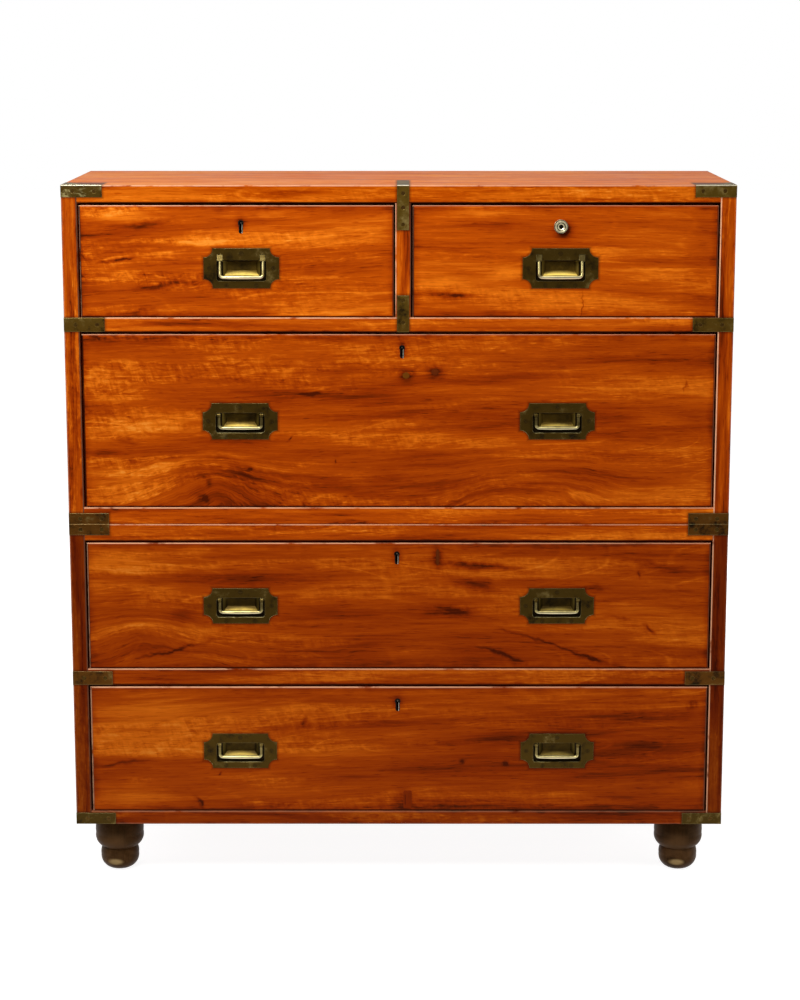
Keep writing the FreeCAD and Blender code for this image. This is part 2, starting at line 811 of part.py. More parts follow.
class Straps:
    """Sheet brass straps of one case, with their screws."""

    def __init__(self):
        self.shapes = []
        self.screws = Screws()

    def angle(self, hand, low, high, extra=None):
        """A strap round a front corner, with a leaf on the front and one on the side."""
        outer, face = half_width + brass_proud, front - brass_proud
        z = (low, high)
        front_leaf = box(span(hand, half_width - leaf_length, outer), (face, face + brass_thickness), z)
        side_leaf = box(span(hand, outer - brass_thickness, outer), (face, front + leaf_length), z)
        self.shapes.append(joined([front_leaf, side_leaf] + ([extra] if extra else [])))
        level = (low + high) / 2
        for distance in (first_screw, second_screw):
            self.screws.add(Vector(hand * (half_width - distance), face, level), Vector(0, 1, 0))
            self.screws.add(Vector(hand * outer, front + distance, level), Vector(-hand, 0, 0))

    def top_corner(self, hand):
        """A corner with a third leaf on the top, hollowed to a quarter circle."""
        outer, face, high = half_width + brass_proud, front - brass_proud, level_top + brass_proud
        z = (high - brass_thickness, high)
        blank = box(span(hand, half_width - leaf_length, outer), (face, front + leaf_length), z)
        hub = Vector(hand * (half_width - leaf_length), front + leaf_length, z[0])
        hollow = rod(leaf_length - gusset_end, hub, hub + Vector(0, 0, brass_thickness))
        self.angle(hand, level_top - top_corner_height, high, blank.cut(hollow))
        ends = (gusset_screw_reach, gusset_screw_inset)
        for x, y in (ends, ends[::-1], (first_screw, first_screw)):
            self.screws.add(Vector(hand * (half_width - x), front + y, high), Vector(0, 0, -1))

    def centre(self, low, high, screw_levels):
        """A flat upright strap on the divider."""
        face = front - brass_proud
        for level in screw_levels:
            self.screws.add(Vector(divider_offset, face, level), Vector(0, 1, 0))
        return box(around(divider_offset, centre_strap_width), (face, face + brass_thickness), (low, high))

    def centre_top(self):
        """The divider's upper strap, which turns over onto the top board."""
        high = level_top + brass_proud
        drop = level_top - centre_strap_drop
        screw_levels = [level_top - centre_top_screw, (drop + high) / 2, drop + centre_end_screw]
        front_leaf = self.centre(drop, high, screw_levels)
        top_leaf = box(around(divider_offset, centre_strap_width),
                       (front - brass_proud, front + centre_strap_return), (high - brass_thickness, high))
        self.shapes.append(joined([front_leaf, top_leaf]))
        for distance in (centre_return_first_screw, centre_return_last_screw):
            self.screws.add(Vector(divider_offset, front + distance, high), Vector(0, 0, -1))

    def centre_foot(self):
        """The divider's lower strap, across its joint with the rail."""
        low = level_upper_rail
        high = low + foot_strap_height
        self.shapes.append(self.centre(low, high, [low + foot_strap_low_screw, high - foot_strap_high_screw]))


def upper_straps():
    straps = Straps()
    for hand in hands:
        straps.top_corner(hand)
        middle = (level_upper_rail + level_short_opening) / 2
        straps.angle(hand, *around(middle, upper_rail_strap_height))
        straps.angle(hand, level_split, level_split + split_strap_height)
    straps.centre_top()
    straps.centre_foot()
    return straps


def lower_straps():
    straps = Straps()
    for hand in hands:
        straps.angle(hand, level_split - split_strap_height, level_split)
        straps.angle(hand, level_lower_rail, level_lower_rail + lower_rail_strap_height)
        straps.angle(hand, level_bottom, level_bottom + bottom_corner_height)
    return straps


# ---------------------------------------------------------------- assembly

def fit_brass(parts, prefix, wooden, straps, handle_level):
    """Let the straps and two side handles into a case, and add the brass to the parts."""
    handle = Handle(False)
    plates, screws, seats = [], list(straps.screws.solids), straps.shapes + straps.screws.blanks
    for hand, word in zip(hands, ("left", "right")):
        at = Vector(hand * half_width, 0, handle_level)
        plate, pins, bail, handle_screws, seat = handle.fitted(at, 90.0 * hand)
        plates += plate + pins
        screws += handle_screws
        seats += seat
        parts[f"{prefix}_{word}_side_bail"] = bail
    for node in wooden:
        parts[node] = [cut(solid, seats) for solid in parts[node]]
    parts[prefix + "_side_handle_plates"] = plates
    parts[prefix + "_brass_straps"] = [cut(shape, straps.screws.blanks) for shape in straps.shapes]
    parts[prefix + "_brass_screws"] = screws


def build_case(parts, prefix, levels, rail_levels, runners, extras):
    """The boards of one case: levels are its bottom, lower opening, top board and top."""
    low, opening, ceiling, high = levels
    sides = [case_side(hand, low, high, opening - low, high - ceiling) for hand in hands]
    rebate = back_space(opening, ceiling)
    rail = front_rail(*rail_levels)
    full = ((-half_width, half_width), (front, back))
    parts[prefix + "_bottom"] = [box(*full, (low, opening)).cut(sides + [rebate] + extras)]
    parts[prefix + "_top"] = [cut(box(*full, (ceiling, high)), sides + [rebate] + extras)]
    for side, word in zip(sides, ("left", "right")):
        parts[f"{prefix}_{word}_side"] = [cut(side, [rebate, rail] + runners)]
    parts[prefix + "_back"] = back_planks(opening, ceiling)
    parts[prefix + "_rail"] = [cut(rail, runners + extras)]


def build_upper_case(parts, drawers):
    runner, guide = centre_runner()
    runners = [side_runner(hand, level_short_opening) for hand in hands] + [runner]
    upright = divider()
    peg_holes = [rod(peg_radius + peg_clearance, Vector(x, y, level_split),
                     Vector(x, y, level_split + peg_rise + peg_clearance))
                 for x, y in four_corners(peg_inset, peg_inset)]
    extras = [upright] + peg_holes + [drawer.bolt_mortise() for drawer in drawers]
    build_case(parts, "upper", (level_split, level_deep_opening, level_top_board, level_top),
               (level_upper_rail, level_short_opening), runners, extras)
    parts["upper_divider"] = [upright]
    parts["upper_runners"] = runners + [guide] + [block for drawer in drawers for block in stops(drawer)]
    wooden = ["upper_top", "upper_left_side", "upper_right_side", "upper_bottom", "upper_rail",
              "upper_divider"]
    fit_brass(parts, "upper", wooden, upper_straps(), level_split + upper_side_handle_rise)


def build_lower_case(parts, drawers):
    runners = [side_runner(hand, level_middle_opening) for hand in hands]
    pegs = [rod(peg_radius, Vector(x, y, level_split - peg_depth), Vector(x, y, level_split + peg_rise))
            for x, y in four_corners(peg_inset, peg_inset)]
    feet = [foot(x, y) for x, y in four_corners(foot_inset, foot_inset)]
    extras = pegs + feet + [drawer.bolt_mortise() for drawer in drawers]
    build_case(parts, "lower", (level_bottom, level_bottom_opening, level_lower_top, level_split),
               (level_lower_rail, level_middle_opening), runners, extras)
    parts["lower_runners"] = runners + [block for drawer in drawers for block in stops(drawer)]
    parts["locating_pegs"] = pegs
    parts["feet"] = feet
    wooden = ["lower_top", "lower_left_side", "lower_right_side", "lower_bottom", "lower_rail"]
    fit_brass(parts, "lower", wooden, lower_straps(), level_bottom + lower_side_handle_rise)


def build_all():
    """Every node's solids, by the node's name."""
    parts = {}
    drawers = all_drawers()
    build_upper_case(parts, drawers[:3])
    build_lower_case(parts, drawers[3:])
    for drawer in drawers:
        drawer.build(parts)
    return parts


def main():
    os.makedirs("parts", exist_ok=True)
    for node, shapes in build_all().items():
        solids = [solid for shape in shapes for solid in shape.Solids]
        Part.makeCompound(solids).exportStep(f"parts/{node}.step")
        print(node, len(solids), "solids", round(sum(solid.Volume for solid in solids)))


if __name__ == "__main__":
    main()
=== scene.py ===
"""The looks of a two-part campaign chest: figured wood, patinated brass and dark turned feet.

Everything is in metres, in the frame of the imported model: X to the right, Y to the back, Z up.
Places on a drawer front are in millimetres from its middle, because they are read like a drawing.
"""
import math
from functools import reduce

import bpy
from bpy.props import FloatProperty, FloatVectorProperty, PointerProperty
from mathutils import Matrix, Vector


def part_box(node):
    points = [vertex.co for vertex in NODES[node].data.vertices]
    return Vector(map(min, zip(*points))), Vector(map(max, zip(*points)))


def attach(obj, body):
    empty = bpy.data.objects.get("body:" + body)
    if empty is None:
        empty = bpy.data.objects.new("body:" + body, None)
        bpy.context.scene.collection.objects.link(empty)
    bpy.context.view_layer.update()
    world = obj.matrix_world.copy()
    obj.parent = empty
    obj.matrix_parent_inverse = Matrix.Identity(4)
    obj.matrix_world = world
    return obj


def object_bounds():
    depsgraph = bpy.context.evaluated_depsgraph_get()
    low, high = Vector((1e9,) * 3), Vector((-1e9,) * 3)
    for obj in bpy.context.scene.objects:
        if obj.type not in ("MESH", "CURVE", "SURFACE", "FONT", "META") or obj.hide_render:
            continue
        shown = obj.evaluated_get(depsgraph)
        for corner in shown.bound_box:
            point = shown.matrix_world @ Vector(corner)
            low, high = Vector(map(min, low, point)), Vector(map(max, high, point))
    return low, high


bl_info = {
    "name": "Campaign chest finishes",
    "version": (1, 0, 0),
    "blender": (4, 5, 0),
    "location": "3D View > Sidebar > Chest",
    "description": "Polished wood, patinated brass and a studio for a two-part campaign chest",
    "category": "Object",
}

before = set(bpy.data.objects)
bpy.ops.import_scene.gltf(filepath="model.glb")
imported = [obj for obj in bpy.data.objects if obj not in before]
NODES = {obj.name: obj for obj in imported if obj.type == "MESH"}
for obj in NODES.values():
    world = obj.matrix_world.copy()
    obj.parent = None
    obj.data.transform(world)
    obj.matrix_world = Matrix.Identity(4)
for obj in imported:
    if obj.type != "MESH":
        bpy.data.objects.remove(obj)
CAD_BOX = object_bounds()
MM = 0.001
FRONT_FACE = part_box("lower_rail")[0].y
DRAWERS = ("short_left_drawer", "short_right_drawer", "deep_drawer", "middle_drawer", "bottom_drawer")
BARREL_DRAWER = "short_right_drawer"
CASES = ("upper", "lower")
WHITE = (1.0, 1.0, 1.0)


def shade(red, green, blue):
    """The linear colour that shows on a screen as these values from 0 to 255."""
    toe, offset, power = 0.04045, 0.055, 2.4
    shown = [value / 255 for value in (red, green, blue)]
    return tuple(v / 12.92 if v <= toe else ((v + offset) / (1 + offset)) ** power for v in shown)


# ---------------------------------------------------------------- what a user may set

LENGTH = {"subtype": "DISTANCE", "unit": "LENGTH"}
ANGLE = {"subtype": "ANGLE", "unit": "ROTATION"}
SHARE = {"subtype": "FACTOR", "max": 1.0}


def colour(name, description, red, green, blue):
    """A colour that the sidebar shows, given as it looks on a screen."""
    return FloatVectorProperty(name=name, description=description, subtype="COLOR", size=3,
                               min=0.0, max=1.0, default=shade(red, green, blue))


def amount(name, description, default, least=0.0, **kind):
    """A number that the sidebar shows; its kind is LENGTH, ANGLE, SHARE or nothing."""
    return FloatProperty(name=name, description=description, default=default, min=least, **kind)


class ChestWood(bpy.types.PropertyGroup):
    """Colours and wear of the polished wood."""

    dark: colour("Dark streaks", "The darkest lines of the figure", 84, 22, 0)
    red: colour("Red ground", "The wood between its streaks", 158, 53, 0)
    orange: colour("Orange ground", "The commonest colour of the fronts", 193, 79, 2)
    gold: colour("Golden figure", "Where the figure catches the light", 238, 121, 18)
    pale: colour("Pale flecks", "The lightest specks in the grain", 250, 148, 46)
    # Bare wood also serves as a painted highlight: the pale lines along the lit arrises.
    bare: colour("Bare wood", "Wood where the polish is rubbed through", 255, 190, 146)
    # Grime also stands for painted shade: the dark lines along the gaps round the drawers and round the
    # brass.
    grime: colour("Grime", "Old wax and dirt in the corners and along the joints", 52, 10, 2)
    lining: colour("Lining wood", "The unpolished wood inside the drawers", 176, 122, 74)
    foot: colour("Foot wood", "The dark stain of the turned feet", 66, 42, 18)
    roughness: amount("Polish roughness", "How dull the polish has become", 0.36, **SHARE)
    # This width also holds the painted highlight along the board edges.
    arris: amount("Arris wear", "How far the wear reaches from an edge", 2.2 * MM, **LENGTH)
    rounding: amount("Arris rounding", "Radius of the case boards' worn edges", 1.0 * MM, **LENGTH)
    # The dark round the brass is wax and dirt, and also painted shade.
    seat: amount("Seat shadow", "How far wax and dirt reach from the brass", 4.0 * MM, **LENGTH)


class ChestBrass(bpy.types.PropertyGroup):
    """Colours and wear of the brass and the nickelled lock."""

    # Grime also paints shade: the handles' channels, inside the keyholes and the barrel lock's grooves.
    grime: colour("Grime", "Dirt in the corners and round the screws", 30, 20, 4)
    patina: colour("Patina", "The olive skin of the upper straps", 108, 82, 20)
    tarnish: colour("Tarnish", "The brown skin of the lower straps", 106, 65, 13)
    plate: colour("Plate patina", "The dark skin of the handle plates", 79, 58, 8)
    rubbed: colour("Rubbed patina", "Where hands have thinned the patina", 156, 134, 76)
    bright: colour("Bright brass", "Bare metal on the edges and bails", 240, 222, 150)
    well: colour("Rubbed well", "Yellow metal where fingers rub the wells", 214, 184, 88)
    nickel: colour("Nickel", "The plating of the barrel lock", 240, 228, 184)
    # The near-black iron also stands in as painted shade inside the keyholes.
    iron: colour("Iron", "The lock cases behind the keyholes", 14, 10, 6)
    steel: colour("Steel", "The lock bolts", 132, 126, 116)
    edge: amount("Edge wear", "How far bare metal reaches from an edge", 0.8 * MM, **LENGTH)


class ChestStage(bpy.types.PropertyGroup):
    """Where the camera stands and how strong the lamps are."""

    aside: amount("Camera to the right", "Of the middle of the chest", 5.4 * MM, -1.0, **LENGTH)
    distance: amount("Camera distance", "From the middle of the chest", 3.8154, 0.5, **LENGTH)
    height: amount("Camera height", "Above the floor", 1.2945, **LENGTH)
    lens: amount("Focal length", "In millimetres for a 36 mm sensor", 88.93, 10.0)
    tilt: amount("Camera tilt", "How far the camera looks down", math.radians(10.891), -1.5, **ANGLE)
    turn: amount("Camera turn", "How far the camera looks to the left", math.radians(0.055), -1.5, **ANGLE)
    key: amount("Key lamp", "Power of the large lamp at the upper left, in watts", 30.0)
    over: amount("Overhead lamp", "Power of the lamp above the front, in watts", 12.0)
    fill: amount("Fill lamp", "Power of the lamp at the right, in watts", 7.0)
    sides: amount("Side lamps", "Power of each lamp beside the chest, in watts", 26.0)
    back: amount("Back lamp", "Power of the lamp behind the chest, in watts", 30.0)
    ambient: amount("Ambient light", "Strength of the light from all round", 0.22)
    backdrop: amount("Backdrop in reflections", "How white mirrors show the backdrop", 0.5, **SHARE)


# ---------------------------------------------------------------- node trees

def emptied(owner):
    """The node tree of a material or a world, without the nodes that it starts with."""
    owner.use_nodes = True
    owner.node_tree.nodes.clear()
    return owner.node_tree


class Tree:
    """Short ways to add the nodes of one tree and join them."""

    def __init__(self, tree):
        self.tree = tree

    def join(self, socket, value):
        """Link a socket to another socket or to a node's first output, or write a value in it."""
        if isinstance(value, bpy.types.Node):
            value = value.outputs[0]
        if isinstance(value, bpy.types.NodeSocket):
            self.tree.links.new(value, socket)
        elif value is not None:
            missing_alpha = socket.type == "RGBA" and len(value) == 3
            socket.default_value = (*value, 1.0) if missing_alpha else value

    def add(self, kind, inputs=(), **settings):
        """A node; its inputs are a list in order, or a dictionary by name or number."""
        node = self.tree.nodes.new(kind)
        for name, value in settings.items():
            setattr(node, name, value)
        for key, value in inputs.items() if isinstance(inputs, dict) else enumerate(inputs):
            self.join(node.inputs[key], value)
        return node

    def number(self, operation, *values):
        """The outcome of one calculation."""
        return self.add("ShaderNodeMath", values, operation=operation).outputs[0]

    def chain(self, operation, values):
        """A calculation on the first two values, then on its outcome and the next, and so on."""
        return reduce(lambda first, second: self.number(operation, first, second), values)

    def total(self, *values):
        """All values added up."""
        return self.chain("ADD", values)

    def product(self, *values):
        """All values multiplied."""
        return self.chain("MULTIPLY", values)

    def most(self, *values):
        """The greatest of the values."""
        return self.chain("MAXIMUM", values)

    def least(self, *values):
        """The smallest of the values."""
        return self.chain("MINIMUM", values)

    def less(self, value, other):
        """The first value less the other."""
        return self.number("SUBTRACT", value, other)

    def weighed(self, value, weight, offset=0.0):
        """The value times its weight, plus the offset."""
        return self.number("MULTIPLY_ADD", value, weight, offset)

    def vector(self, operation, *values):
        """The outcome of one calculation on vectors."""
        node = self.add("ShaderNodeVectorMath", values, operation=operation)
        return node.outputs["Value" if operation in ("DOT_PRODUCT", "LENGTH") else "Vector"]

    def split(self, point):
        """A vector's three numbers."""
        return self.add("ShaderNodeSeparateXYZ", [point]).outputs

    def combined(self, x, y, z):
        """A vector from three numbers."""
        return self.add("ShaderNodeCombineXYZ", [x, y, z]).outputs[0]

    def noise(self, point, stretch, seed, detail, roughness=0.5, distortion=0.0):
        """Noise with so many periods a metre along each axis of the point."""
        place = self.vector("MULTIPLY_ADD", point, stretch, (seed, seed * 1.7, seed * 0.6))
        inputs = {"Vector": place, "Scale": 1.0, "Detail": detail, "Roughness": roughness,
                  "Distortion": distortion}
        return self.add("ShaderNodeTexNoise", inputs).outputs[0]

    def ease(self, value, start, end, low=0.0, high=1.0):
        """A smooth step from low to high as the value goes from start to end."""
        inputs = [value, start, end, low, high]
        return self.add("ShaderNodeMapRange", inputs, interpolation_type="SMOOTHSTEP").outputs[0]

    def ease_mm(self, value, start, end, low=0.0, high=1.0):
        """A smooth step between two places in millimetres."""
        return self.ease(value, start * MM, end * MM, low, high)

    def tint(self, share, first, second):
        """The first colour with a share of the second one."""
        return self.add("ShaderNodeMix", {0: share, 6: first, 7: second}, data_type="RGBA").outputs[2]

    def ramp(self, value, stops):
        """A colour that follows a value from 0 to 1 through (place, colour) stops."""
        node = self.add("ShaderNodeValToRGB", [value])
        elements = node.color_ramp.elements
        while len(elements) < len(stops):
            elements.new(0.5)
        for element, (place, tone) in zip(elements, stops):
            element.position = place
            element.color = (*tone, 1.0)
        return node.outputs[0]

    def shades(self, value, tone, *stops):
        """A ramp through shades of one colour; each stop is a place and how bright."""
        return self.ramp(value, [(place, Vector(tone) * bright) for place, bright in stops])

    def shared(self, fill, vectors, numbers):
        """The outcome of a node group of vectors and numbers, which is filled at its first use."""
        group = bpy.data.node_groups.get(fill.__name__)
        if group is None:
            group = bpy.data.node_groups.new(fill.__name__, "ShaderNodeTree")
            for kind, inputs in (("Vector", vectors), ("Float", numbers)):
                for name in inputs:
                    group.interface.new_socket(name, in_out="INPUT", socket_type="NodeSocket" + kind)
            group.interface.new_socket("Outcome", in_out="OUTPUT", socket_type="NodeSocketFloat")
            tree = Tree(group)
            outcome = fill(tree, tree.add("NodeGroupInput").outputs)
            tree.add("NodeGroupOutput", [outcome])
        return self.add("ShaderNodeGroup", {**vectors, **numbers}, node_tree=group).outputs[0]


def soft_patch(tree, given):
    """A soft oval place on a board that adds its tone to a sum."""
    away = tree.vector("SUBTRACT", given["Point"], given["Middle"])
    along = tree.vector("DOT_PRODUCT", away, given["Along"])
    across = tree.vector("DOT_PRODUCT", away, given["Across"])
    square = tree.weighed(along, along, tree.product(across, across))
    share = tree.number("EXPONENT", tree.product(square, -1.0))
    return tree.weighed(share, given["Tone"], given["Sum"])


def brass_distance(tree, given):
    """How far a point of the wood lies outside a brass plate with hollowed corners."""
    folded = tree.vector("ABSOLUTE", tree.vector("SUBTRACT", given["Point"], given["Middle"]))
    beyond = tree.vector("SUBTRACT", folded, given["Half size"])
    corner = tree.vector("LENGTH", tree.vector("MULTIPLY", beyond, given["Plane"]))
    return tree.most(*tree.split(beyond), tree.less(given["Corner"], corner))


class Finish(Tree):
    """A material's tree, with its shader, its paint so far and the point on the piece."""

    def __init__(self, name, **constants):
        self.material = bpy.data.materials.new(name)
        super().__init__(emptied(self.material))
        self.shader = self.add("ShaderNodeBsdfPrincipled", constants)
        self.add("ShaderNodeOutputMaterial", [self.shader])
        self.point = self.add("ShaderNodeTexCoord").outputs["Object"]
        self.paint = None

    def speckle(self, scale, *shape):
        """Noise with so many periods a metre each way; its shape is seed, detail and so on."""
        return self.noise(self.point, (scale, scale, scale), *shape)

    def coat(self, share, tone):
        """Lay a share of a colour over the paint."""
        self.paint = self.tint(share, self.paint, tone)

    def show(self, roughness, relief, depth, strength, rounded=None):
        """Join paint, roughness and relief (in millimetres) to the shader, and give the material."""
        self.join(self.shader.inputs["Base Color"], self.paint)
        self.join(self.shader.inputs["Roughness"], roughness)
        inputs = {"Strength": strength, "Distance": depth * MM, "Height": relief, "Normal": rounded}
        self.join(self.shader.inputs["Normal"], self.add("ShaderNodeBump", inputs))
        return self.material


# ---------------------------------------------------------------- solids of a node

def solids_of(node):
    """The separate solids of a node, each as its faces' numbers and its lowest and highest corner."""
    mesh = NODES[node].data
    keys = [tuple(round(value * 1e5) for value in vertex.co) for vertex in mesh.vertices]
    parent = {key: key for key in keys}

    def root(key):
        while parent[key] != key:
            parent[key] = parent[parent[key]]
            key = parent[key]
        return key

    for face in mesh.polygons:
        first = root(keys[face.vertices[0]])
        for vertex in face.vertices[1:]:
            parent[root(keys[vertex])] = first
    faces = {}
    for face in mesh.polygons:
        faces.setdefault(root(keys[face.vertices[0]]), []).append(face.index)
    found = []
    for numbers in faces.values():
        points = [mesh.vertices[v].co for number in numbers for v in mesh.polygons[number].vertices]
        low, high = [Vector([pick(p[axis] for p in points) for axis in range(3)]) for pick in (min, max)]
        found.append((numbers, low, high))
    return found


def dress(node, *materials, choose=None):
    """Give a node its materials; choose names one by number for each solid, from its corners."""
    mesh = NODES[node].data
    mesh.materials.clear()
    for material in materials:
        mesh.materials.append(material)
    if choose:
        for faces, low, high in solids_of(node):
            number = choose(low, high)
            for face in faces:
                mesh.polygons[face].material_index = number


def is_handle_plate(low, high):
    """A flush handle's plate is the only brass solid that is both wide and deep."""
    size = sorted(high - low)
    return size[2] > 100 * MM and size[0] > 10 * MM


# The radius of the hollow in each corner of a handle plate.
PLATE_CORNER = 13.5 * MM


def plate_seats(node):
    """The handle plates of a brass node, as seats in the wood: middle, half size, plane and corner."""
    seats = []
    for _, low, high in solids_of(node):
        if is_handle_plate(low, high):
            half = (high - low) / 2
            plane = Vector([0.0 if value == min(half) else 1.0 for value in half])
            seats.append(((low + high) / 2, half, plane, PLATE_CORNER))
    return seats


def strap_seats(node):
    """The straps of a case, as seats in the wood; they have no hollow corners."""
    plane = Vector((1.0, 1.0, 1.0))
    return [((low + high) / 2, (high - low) / 2, plane, 0.0) for _, low, high in solids_of(node)]


def case_seats(case):
    """Everything brass that is let into the boards of one case."""
    return strap_seats(case + "_brass_straps") + plate_seats(case + "_side_handle_plates")


def near_board(seat, low, high, reach=3 * MM):
    """Whether a seat touches a board."""
    first, last = seat[0] - seat[1], seat[0] + seat[1]
    return all(low[n] - reach < last[n] and first[n] < high[n] + reach for n in range(3))


def key_place(node):
    """The middle of a drawer's key post, which is its smallest brass solid."""
    _, low, high = min(solids_of(node), key=lambda solid: (solid[2] - solid[1]).length)
    return (low + high) / 2


# ---------------------------------------------------------------- wood

# For each way of the grain, the axes that run along it, across it and through the board.
GRAIN = {"X": (0, 2, 1), "Y": (1, 0, 2), "Z": (2, 0, 1)}
AMBER = (1.0, 0.72, 0.40, 1.0)
GLOSS, TOP_GLOSS, FOOT_GLOSS = 0.12, 0.03, 0.10
# How far knots and patches are pushed about, in metres.
SWAY = (34 * MM, 0.0, 13 * MM)


class Wood(Finish):
    """One board's finish: its grain, its figure, and the wear, dirt, painted shade and painted highlights
    round its edges and brass.
    """

    def __init__(self, name, node, grain, seed, depth=1.0, gloss=GLOSS):
        super().__init__(name, **{"Specular IOR Level": gloss, "Specular Tint": AMBER})
        self.settings = bpy.context.scene.chest_wood
        self.low, self.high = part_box(node)
        self.middle = (self.low + self.high) / 2
        self.seed = seed
        self.depth = depth
        self.axes = self.split(self.point)
        self.along, self.across, self.through = [self.axes[number] for number in GRAIN[grain]]
        cloud = {"Vector": self.point, "Scale": 42.0, "Detail": 3.0}
        warp = self.add("ShaderNodeTexNoise", cloud).outputs[1]
        back = tuple(-reach / 2 for reach in SWAY)
        self.bent = self.vector("ADD", self.point, self.vector("MULTIPLY_ADD", warp, SWAY, back))

    def spread(self, total, patches, point=None):
        """Add soft patches to a sum; each is x, z, reach, rise, slope and amount on the front."""
        for x, z, reach, rise, slope, amount in patches:
            vectors = {"Point": point or self.bent, "Along": (1 / (reach * MM), 0.0, 0.0),
                       "Across": (-slope / (rise * MM), 0.0, 1 / (rise * MM)),
                       "Middle": (self.middle.x + x * MM, 0.0, self.middle.z + z * MM)}
            total = self.shared(soft_patch, vectors, {"Sum": total, "Tone": amount})
        return total

    def grow(self, drift=10.0, lean=0.0, swirls=(), patches=(), spots=(), broad=1.0, line=0.8,
             streaks=0.35, flame=(0.4, 0.4), flecks=0.25, middle=0.46):
        """The figure: drifting grain, dark streaks, flames and rings, pale flecks and dark pores."""
        plain = self.combined(self.along, self.across, self.through)
        wander = self.noise(plain, (1.7, 3.5, 3.5), self.seed, 1.0)
        waver = self.noise(plain, (11, 34, 34), self.seed + 1, 2.0)
        across = self.total(self.across, self.weighed(wander, 2 * drift * MM, -drift * MM),
                            self.weighed(waver, 5 * MM, -2.5 * MM), self.weighed(self.along, -lean))
        cell = self.combined(self.along, self.spread(across, swirls), self.through)
        wide = self.noise(cell, (1.8, 20, 20), self.seed, 4.0, 0.62, 0.25)
        thin = self.noise(cell, (4.0, 72, 72), self.seed + 5, 3.0, 0.6)
        self.fine = self.noise(cell, (14, 430, 430), self.seed + 2, 2.0)
        figured = self.ease(self.noise(cell, (3.0, 26, 26), self.seed + 8, 3.0, 0.6), 0.46, 0.60)
        slanted = self.combined(self.total(self.along, self.weighed(across, 0.35)), across, self.through)
        curl = self.noise(slanted, (120, 38, 38), self.seed + 3, 3.0, 0.5, 0.9)
        ragged = self.noise(cell, (42, 105, 105), self.seed + 10, 3.0, 0.6, 1.2)
        hatched = self.total(self.weighed(curl, 1.1, -0.53), self.weighed(ragged, 1.9, -0.90))
        flamed = self.ease(self.axes[0], self.low.x, self.high.x, *flame)
        growth = self.noise(cell, (1.6, 13, 13), self.seed + 9, 0.0)
        ring = self.ease(self.number("PINGPONG", self.weighed(growth, 11.0), 0.5), 0.07, 0.0)
        speck = self.ease(self.noise(cell, (70, 480, 480), self.seed + 4, 1.0), 0.56, 0.80)
        pore = self.ease(self.noise(cell, (45, 620, 620), self.seed + 7, 1.0), 0.60, 0.72)
        streak = self.ease(thin, 0.54, 0.72)
        tone = self.total(
            self.weighed(wide, broad, middle - broad / 2), self.weighed(thin, line, -line / 2),
            self.weighed(self.fine, 0.30, -0.15), self.product(streak, -streaks),
            self.product(hatched, figured, flamed),
            self.product(speck, self.weighed(figured, flecks * 0.6, flecks * 0.4)),
            self.product(ring, self.weighed(figured, 0.09, 0.05)),
            self.product(pore, -0.16), self.weighed(figured, 0.12, -0.05))
        self.tone = self.spread(self.spread(tone, patches), spots, self.point)

    def edge_distance(self):
        """How far a point of a board's surface is from the nearest edge of its box."""
        gaps = [self.least(self.less(socket, low), self.less(high, socket))
                for socket, low, high in zip(self.axes, self.low, self.high)]
        return self.most(self.least(*gaps[:2]), self.least(self.most(*gaps[:2]), gaps[2]))

    def dirty_edges(self, reach=18.0):
        """Darken the wood towards its edges, where polish and dust build up."""
        rough = self.weighed(self.speckle(36, self.seed, 3.0), 22 * MM, self.edge_distance())
        self.tone = self.weighed(self.ease_mm(rough, reach + 6, 9), -0.2, self.tone)

    def stain(self):
        """Paint from the tone; a deeper stain takes more of the green than of the red."""
        wood, depth = self.settings, self.depth
        stain = Vector((depth, depth ** 1.3, depth ** 1.6))
        mix = [Vector(c) * stain for c in (wood.dark, wood.red, wood.orange, wood.gold, wood.pale)]
        self.paint = self.ramp(self.tone, list(zip((0.0, 0.25, 0.5, 0.80, 1.0), mix)))

    def edge_line(self, paint, shares, width, fade=1.0, cover=(0.30, 0.48)):
        """A broken line along the left, right, bottom and top edge of a front, each with its own share."""
        levels = ((0, self.low.x, 1), (0, self.high.x, -1), (2, self.low.z, 1), (2, self.high.z, -1))
        masks = []
        for share, (axis, level, sign) in zip(shares, levels):
            if share:
                gap = self.product(self.less(self.axes[axis], level), sign)
                masks.append(self.ease(gap, width, width * 0.5, 0.0, share))
        if masks:
            breaks = self.ease(self.noise(self.point, (24, 60, 24), self.seed + 6, 4.0, 0.65), *cover)
            # A fade below 1 weakens the line towards the right; on the pale lines this is painted light
            # from the left.
            if fade < 1:
                breaks = self.product(breaks, self.ease(self.axes[0], self.low.x, self.high.x, 1.0, fade))
            face = self.ease(self.axes[1], self.low.y + 2.5 * MM, self.low.y + 1.5 * MM)
            self.coat(self.product(self.most(*masks), face, breaks), paint)

    def seats(self, seats):
        """Dark wax and dirt against the brass that is let into the wood, also painted round it as shade."""
        if seats:
            nearest = self.least(*[
                self.shared(brass_distance, {"Point": self.point, "Middle": middle, "Half size": half,
                                             "Plane": plane}, {"Corner": corner})
                for middle, half, plane, corner in seats])
            rough = self.weighed(self.speckle(160, self.seed, 2.0), -1.5 * MM, nearest)
            soft = self.ease(rough, self.settings.seat, 0.0, 0.0, 0.45)
            line = self.ease_mm(nearest, 1.2, 0.3, 0.0, 0.85)
            self.coat(self.most(soft, line), self.settings.grime)

    def polished(self, rounding=0.0):
        """The finished board under an old, slightly dull polish."""
        dull = self.speckle(22, self.seed + 9, 3.0, 0.6)
        even = self.weighed(self.fine, 0.14, self.settings.roughness - 0.18)
        rounded = self.add("ShaderNodeBevel", [rounding], samples=4) if rounding else None
        return self.show(self.weighed(dull, 0.22, even), self.fine, 0.12, 0.35, rounded)
